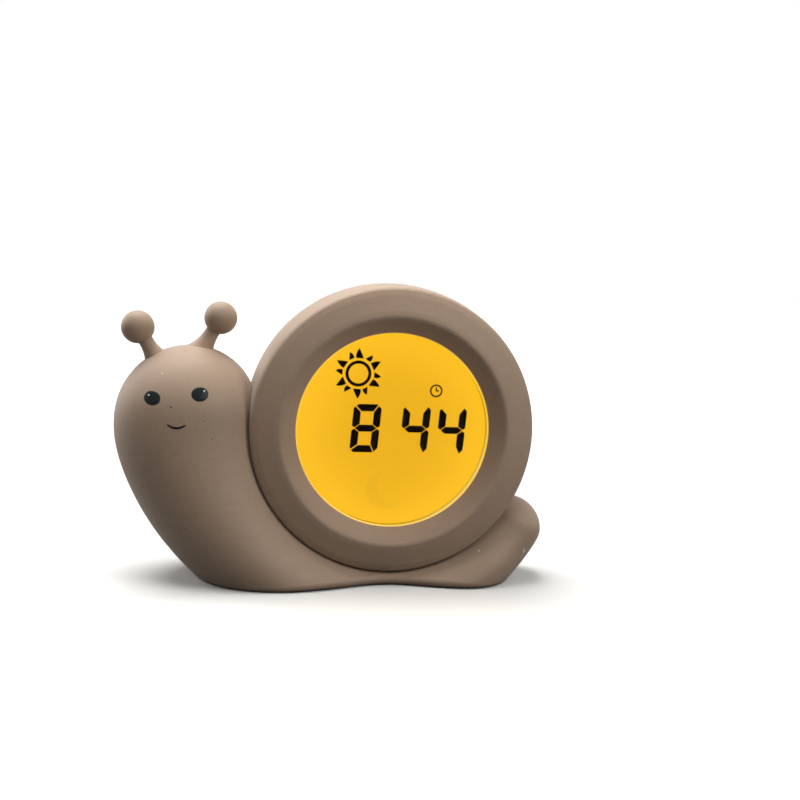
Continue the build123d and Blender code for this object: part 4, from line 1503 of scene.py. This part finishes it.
    def sun(self) -> Shell:
        """A ring with flame-shaped rays, long and short in turn.

        A ray is full wide at its foot, which follows the ring, and loses width with a power of
        the way to its tip. Its middle starts a little behind its own direction, sweeps with the
        way and hooks back with its square, long rays against the clock and short ones with it.

        Returns:
            The closed plates.
        """
        centre = np.array([self.sun_centre[0], self.sun_centre[1] + Axis.height])
        shells = [ring_plate(tuple(centre), *self.sun_ring, self.depths())]
        way = np.linspace(0.0, self.ray_end, self.ray_steps)
        for number in range(self.rays):
            kind = number % 2
            turn = math.pi / 2 - 2 * math.pi * number / self.rays
            foot, tip = self.ray_feet[kind], self.ray_tips[kind]
            reach = foot + (tip - foot) * way
            lean = self.ray_senses[kind] * (self.ray_sweep * way - self.ray_hook * way**2)
            middle = turn - self.ray_lag + lean
            half = self.ray_half_widths[kind] * (1 - way ** self.ray_fullness[kind]) / reach
            edges = [
                centre + reach[:, None] * np.column_stack([np.cos(middle + side), np.sin(middle + side)])
                for side in (-half, half)
            ]
            shells.append(flat_plate(*edges, self.depths(), False))
        return join_shells(shells)

    def clock_mark(self) -> Shell:
        """The small clock, which stands at three o'clock.

        Returns:
            The closed plates.
        """
        centre = (self.icon_centre[0], self.icon_centre[1] + Axis.height)
        width = self.icon_hand_width * self.icon_ring[1]
        return clock_face(centre, self.icon_ring, self.icon_hands, width, self.depths())


class Legend(Enum):
    """What is printed on each push button."""

    DOWN = "down"
    LIGHT = "light"
    TIME = "time"
    ALARM = "alarm"
    UP = "up"


@dataclass
class RearControls:
    """Push buttons, slider, inlet and speaker on the rear face, where X runs to the left."""

    colour: Colour = (0.3, 0.209, 0.143)
    print_sunk: float = 0.05 * MM
    print_proud: float = 0.03 * MM
    reach: float = 1.9 * MM
    stroke: float = 0.42 * MM
    # in reaches: an arrow's half width and the drop to its base, and a clock's two hands
    arrow: Place = (0.85, 0.5)
    clock_hands: Place = (0.6, -0.5)
    # in reaches: a bulb's height and radius, and half width and height of its foot's strokes
    bulb: Place = (0.3, 0.7)
    bulb_foot: tuple[Place, Place] = ((0.36, -0.55), (0.26, -0.92))
    # the width of the foot's strokes, as a share of the others'
    bulb_foot_stroke: float = 0.7
    # in reaches: a bell's top and height, its top's half width, and what crown and flare add
    bell_top: float = 0.95
    bell_height: float = 1.45
    bell_knob: float = 0.04
    bell_crown: float = 0.55
    bell_flare: float = 0.35
    # the share of the way down at which a bell's crown ends and its flare begins
    bell_shoulder: float = 0.45
    bell_steps: int = 24
    # in reaches: the radius of a bell's clapper and its drop below the middle
    clapper_radius: float = 0.2
    clapper_drop: float = 0.78
    clapper_points: int = 24
    mark_rise: float = 4.4 * MM
    mark_gap: float = 3.2 * MM
    on_radius: float = 0.75 * MM
    on_points: int = 32
    off_ring: Span = (0.95 * MM, 0.32 * MM)

    def build(self) -> None:
        """Dresses the controls and prints their marks."""
        ink = Plain("legend_ink", (0.66, 0.61, 0.54), roughness=0.55).build()
        plungers = []
        for legend in Legend:
            cap = f"button_{legend.value}"
            dress(SoftTouch(f"{cap}_paint", self.colour, chipped=False), cap)
            plungers.append(f"plunger_{legend.value}")
            low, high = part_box(cap)
            centre = ((low.x + high.x) / 2, (low.z + high.z) / 2)
            make_piece(f"legend_{legend.value}", self.icon(legend, centre, self.depths(high.y)), ink, cap)
        black = Plain("black_moulding", (0.02, 0.02, 0.021), roughness=0.45)
        dress(black, *plungers, "alarm_slider", "slide_switch", "tact_switches", "speaker_frame")
        make_piece("slider_marks", self.slider_marks(), ink)
        dress(Metal("inlet_shell", (0.6, 0.6, 0.6)), "power_inlet")
        dress(Plain("gasket_foam", (0.03, 0.03, 0.03), roughness=0.9), "speaker_gasket")
        dress(Metal("magnet_plate", (0.5, 0.5, 0.5)), "speaker_magnet")
        dress(Plain("cone_paper", (0.035, 0.033, 0.03), roughness=0.85), "speaker_cone")

    def depths(self, level: float) -> Span:
        """Y of both faces of a mark that is printed on a face at this level."""
        return level - self.print_sunk, level + self.print_proud

    def icon(self, legend: Legend, centre: Place, depths: Span) -> Shell:
        """A button's mark, drawn to be read from behind.

        Args:
            legend: which mark.
            centre: X and Z of the button's centre.
            depths: Y of the mark's two faces.

        Returns:
            The closed plates.
        """
        if legend is Legend.TIME:
            hands = tuple(np.multiply(self.clock_hands, self.reach))
            return clock_face(centre, (self.reach, self.stroke), hands, self.stroke, depths)
        if legend is Legend.LIGHT:
            return self.light_bulb(centre, depths)
        if legend is Legend.ALARM:
            return join_shells([self.bell(centre, depths), self.clapper(centre, depths)])
        way = 1 if legend is Legend.UP else -1
        half, base = self.arrow
        corners = ((-half, -base * way), (half, -base * way), (0, way))
        return prism(np.multiply(corners, self.reach) + centre, depths)

    def light_bulb(self, centre: Place, depths: Span) -> Shell:
        """A bulb: a ring over two short strokes.

        Args:
            centre: X and Z of the button's centre.
            depths: Y of the mark's two faces.

        Returns:
            The closed plates.
        """
        x, z = centre
        rise, radius = np.multiply(self.bulb, self.reach)
        shells = [ring_plate((x, z + rise), radius, self.stroke, depths)]
        for half, height in np.multiply(self.bulb_foot, self.reach):
            ends = ((x - half, z + height), (x + half, z + height))
            shells.append(stroke_plate(*ends, self.bulb_foot_stroke * self.stroke, depths))
        return join_shells(shells)

    def bell(self, centre: Place, depths: Span) -> Shell:
        """A bell, whose half width grows from its top as a quarter ellipse and then flares.

        The crown's part is the root of 1 less the square of the way left to the shoulder, and
        the flare's part is the square of the way past it.

        Args:
            centre: X and Z of the button's centre.
            depths: Y of the mark's two faces.

        Returns:
            The closed plate.
        """
        down = np.linspace(0.0, 1.0, self.bell_steps)
        crown = np.sqrt(1 - (1 - np.minimum(down / self.bell_shoulder, 1.0)) ** 2)
        flare = np.maximum(0.0, (down - self.bell_shoulder) / (1 - self.bell_shoulder)) ** 2
        half = self.reach * (self.bell_knob + self.bell_crown * crown + self.bell_flare * flare)
        height = centre[1] + self.reach * (self.bell_top - self.bell_height * down)
        left = np.column_stack([centre[0] - half, height])
        right = np.column_stack([centre[0] + half, height])
        return flat_plate(left, right, depths, False)

    def clapper(self, centre: Place, depths: Span) -> Shell:
        """The small disc below the bell's mouth."""
        circle = unit_circle(self.clapper_points) * self.clapper_radius * self.reach
        return prism(circle + (centre[0], centre[1] - self.clapper_drop * self.reach), depths)

    def slider_marks(self) -> Shell:
        """The marks above the slider: a ring at its off end and a disc at its on end.

        Returns:
            The closed plates.
        """
        low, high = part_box("alarm_slider")
        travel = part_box("slide_switch")
        middle = (travel[0].x + travel[1].x) / 2
        height = (low.z + high.z) / 2 + self.mark_rise
        depths = self.depths(Axis.rear)
        off = ring_plate((middle - self.mark_gap, height), *self.off_ring, depths)
        on = prism(unit_circle(self.on_points) * self.on_radius + (middle + self.mark_gap, height), depths)
        return join_shells([off, on])


@dataclass
class BatteryBay:
    """Cells, contacts and door."""

    door_colour: Colour = (0.303, 0.211, 0.145)

    def build(self) -> None:
        """Dresses the bay."""
        dress(SoftTouch("door_paint", self.door_colour), "battery_door")
        dress(Metal("door_screw_plate", ZINC), "door_screw")
        CrossRecess().add("door_screw", "door_recess_painted_shade", "battery_door")
        low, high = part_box("battery_cells")
        dress(Sleeve("cell_sleeve", low.x, high.x), "battery_cells")
        dress(Metal("nickel_plate", (0.66, 0.64, 0.58), roughness=0.25), "contact_plates", "contact_springs")


@dataclass
class Electronics:
    """Circuit boards and what they carry."""

    mask_colour: Colour = (0.01, 0.09, 0.035)

    def build(self) -> None:
        """Dresses the boards."""
        mask = Plain("solder_mask", self.mask_colour, roughness=0.3, coat=0.4)
        dress(mask, "main_board", "button_board")
        dress(Plain("chip_resin", (0.012, 0.012, 0.013)), "main_board_chips")
        dress(Metal("board_screw_plate", ZINC), "main_board_screws", "button_board_screws")
        dress(Plain("ribbon_laminate", (0.72, 0.72, 0.68), roughness=0.35), "ribbon_cable")


# ---- studio ----


@dataclass(frozen=True)
class Softbox:
    """An area light: where it stands, what it looks at, its size, power and colour."""

    name: str
    place: Point
    target: Point
    size: float
    power: float
    colour: Colour = (1.0, 0.99, 0.97)

    def build(self) -> None:
        """Sets up the light."""
        lamp = bpy.data.lights.new(self.name, "AREA")
        lamp.shape = "DISK"
        lamp.size = self.size
        lamp.energy = self.power
        lamp.color = self.colour
        holder = bpy.data.objects.new(self.name, lamp)
        holder.location = self.place
        direction = Vector(self.target) - Vector(self.place)
        holder.rotation_euler = direction.to_track_quat("-Z", "Y").to_euler()
        bpy.context.scene.collection.objects.link(holder)


@dataclass(frozen=True)
class Viewpoint:
    """The camera: where it stands round the clock, in degrees, and how its picture is framed."""

    azimuth: float = 10.13
    elevation: float = 6.57
    roll: float = 2.53
    distance: float = 510.5 * MM
    aim_back: float = 6.7 * MM
    aim_pixel: Place = (393.1, 430.4)
    image_size: float = 800.0
    focal_pixels: float = 1230.0
    sensor: float = 36.0

    def build(self) -> None:
        """Stands the camera so that the display's centre falls on the aim pixel."""
        turn, lift, lean = (math.radians(angle) for angle in (self.azimuth, self.elevation, self.roll))
        ahead = Vector((math.sin(turn) * math.cos(lift), math.cos(turn) * math.cos(lift), -math.sin(lift)))
        level = Vector((math.cos(turn), -math.sin(turn), 0.0))
        upright = level.cross(ahead)
        right = level * math.cos(lean) + upright * math.sin(lean)
        up = upright * math.cos(lean) - level * math.sin(lean)
        across, down = ((pixel - self.image_size / 2) / self.focal_pixels for pixel in self.aim_pixel)
        aim = Vector((0.0, Axis.front + self.aim_back, Axis.height))
        stand = aim - (ahead + right * across - up * down) * self.distance
        data = bpy.data.cameras.new("camera")
        data.sensor_width = self.sensor
        data.lens = self.focal_pixels / self.image_size * self.sensor
        camera = bpy.data.objects.new("camera", data)
        camera.matrix_world = Matrix.Translation(stand) @ Matrix((right, up, -ahead)).transposed().to_4x4()
        bpy.context.scene.collection.objects.link(camera)
        bpy.context.scene.camera = camera


@dataclass
class Studio:
    """Floor, backdrop light, softboxes and camera."""

    floor_half: float = 3.0
    floor_colour: Colour = (0.8, 0.8, 0.79)
    floor_factor: float = 0.985
    floor_clouds: Cloud = Cloud(90 * MM)
    floor_roughness: Span = (0.6, 0.7)
    floor_shine: float = 0.1
    floor_bounce: Colour = (0.16, 0.16, 0.16)
    floor_fade: Span = (0.22, 0.75)
    white: Colour = (1.0, 1.0, 1.0)
    ambient: float = 0.1
    softboxes: tuple[Softbox, ...] = (
        Softbox("overhead", (-0.15, 0.16, 0.8), (-0.02, 0.0, 0.06), 0.68, 9.9),
        Softbox("front_right", (0.34, -0.33, 0.42), (0.0, 0.0, 0.07), 0.36, 2.0),
        Softbox("front_left", (-0.6, -0.75, 0.75), (-0.05, 0.0, 0.1), 0.4, 1.2),
        Softbox("left_rear", (-0.7, 0.45, 0.35), (-0.05, 0.0, 0.07), 0.4, 2.4),
    )

    def build(self) -> None:
        """Sets up the whole studio."""
        self.floor()
        self.world()
        for softbox in self.softboxes:
            softbox.build()
        Viewpoint().build()
        bpy.context.scene.view_settings.view_transform = "Standard"

    def floor(self) -> None:
        """A pale table top at height zero, a plain square of four corners."""
        reach = self.floor_half
        corners = [(-reach, -reach, 0.0), (reach, -reach, 0.0), (reach, reach, 0.0), (-reach, reach, 0.0)]
        mesh = bpy.data.meshes.new("floor")
        mesh.from_pydata(corners, [], [(0, 1, 2, 3)])
        floor = bpy.data.objects.new("floor", mesh)
        bpy.context.scene.collection.objects.link(floor)
        mesh.materials.append(self.paper())

    def paper(self) -> Material:
        """Pale paper that sends little light back up and fades to white far from the clock.

        Returns:
            The material.
        """
        sheet = Sheet("floor_paper")
        clouds = sheet.noise(self.floor_clouds)
        seen = sheet.blend(clouds, shade(self.floor_colour, self.floor_factor), self.floor_colour)
        camera = sheet.tree.nodes.new("ShaderNodeLightPath").outputs["Is Camera Ray"]
        sheet.put("Base Color", sheet.blend(camera, self.floor_bounce, seen))
        sheet.roughen(clouds, *self.floor_roughness)
        sheet.put("Specular IOR Level", self.floor_shine)
        away = sheet.hypotenuse(sheet.along(0), sheet.along(1))
        sheet.put("Emission Color", self.white)
        sheet.put("Emission Strength", sheet.product(camera, sheet.ramp(away, *self.floor_fade)))
        return sheet.material

    def world(self) -> None:
        """Even light all round, which the camera and reflections see as white."""
        world = bpy.data.worlds.new("studio")
        world.use_nodes = True
        tree = world.node_tree
        background = tree.nodes["Background"]
        path = tree.nodes.new("ShaderNodeLightPath")
        seen = path.outputs["Is Camera Ray"]
        for name in ("Is Glossy Ray", "Is Transmission Ray"):
            either = tree.nodes.new("ShaderNodeMath")
            either.operation = "MAXIMUM"
            tree.links.new(seen, either.inputs[0])
            tree.links.new(path.outputs[name], either.inputs[1])
            seen = either.outputs[0]
        strength = tree.nodes.new("ShaderNodeMapRange")
        strength.inputs["To Min"].default_value = self.ambient
        strength.inputs["To Max"].default_value = 1.0
        tree.links.new(seen, strength.inputs["Value"])
        tree.links.new(strength.outputs[0], background.inputs["Strength"])
        background.inputs["Color"].default_value = (*self.white, 1.0)
        bpy.context.scene.world = world


def main() -> None:
    """Builds each sub-assembly in order, then the studio."""
    logging.basicConfig(level=logging.INFO, format="%(message)s")
    for assembly in (SnailBody(), ShellHousing(), Display(), RearControls(), BatteryBay(), Electronics()):
        assembly.build()
        log.info("%s: done", type(assembly).__name__)
    Studio().build()


if __name__ == "__main__":
    main()
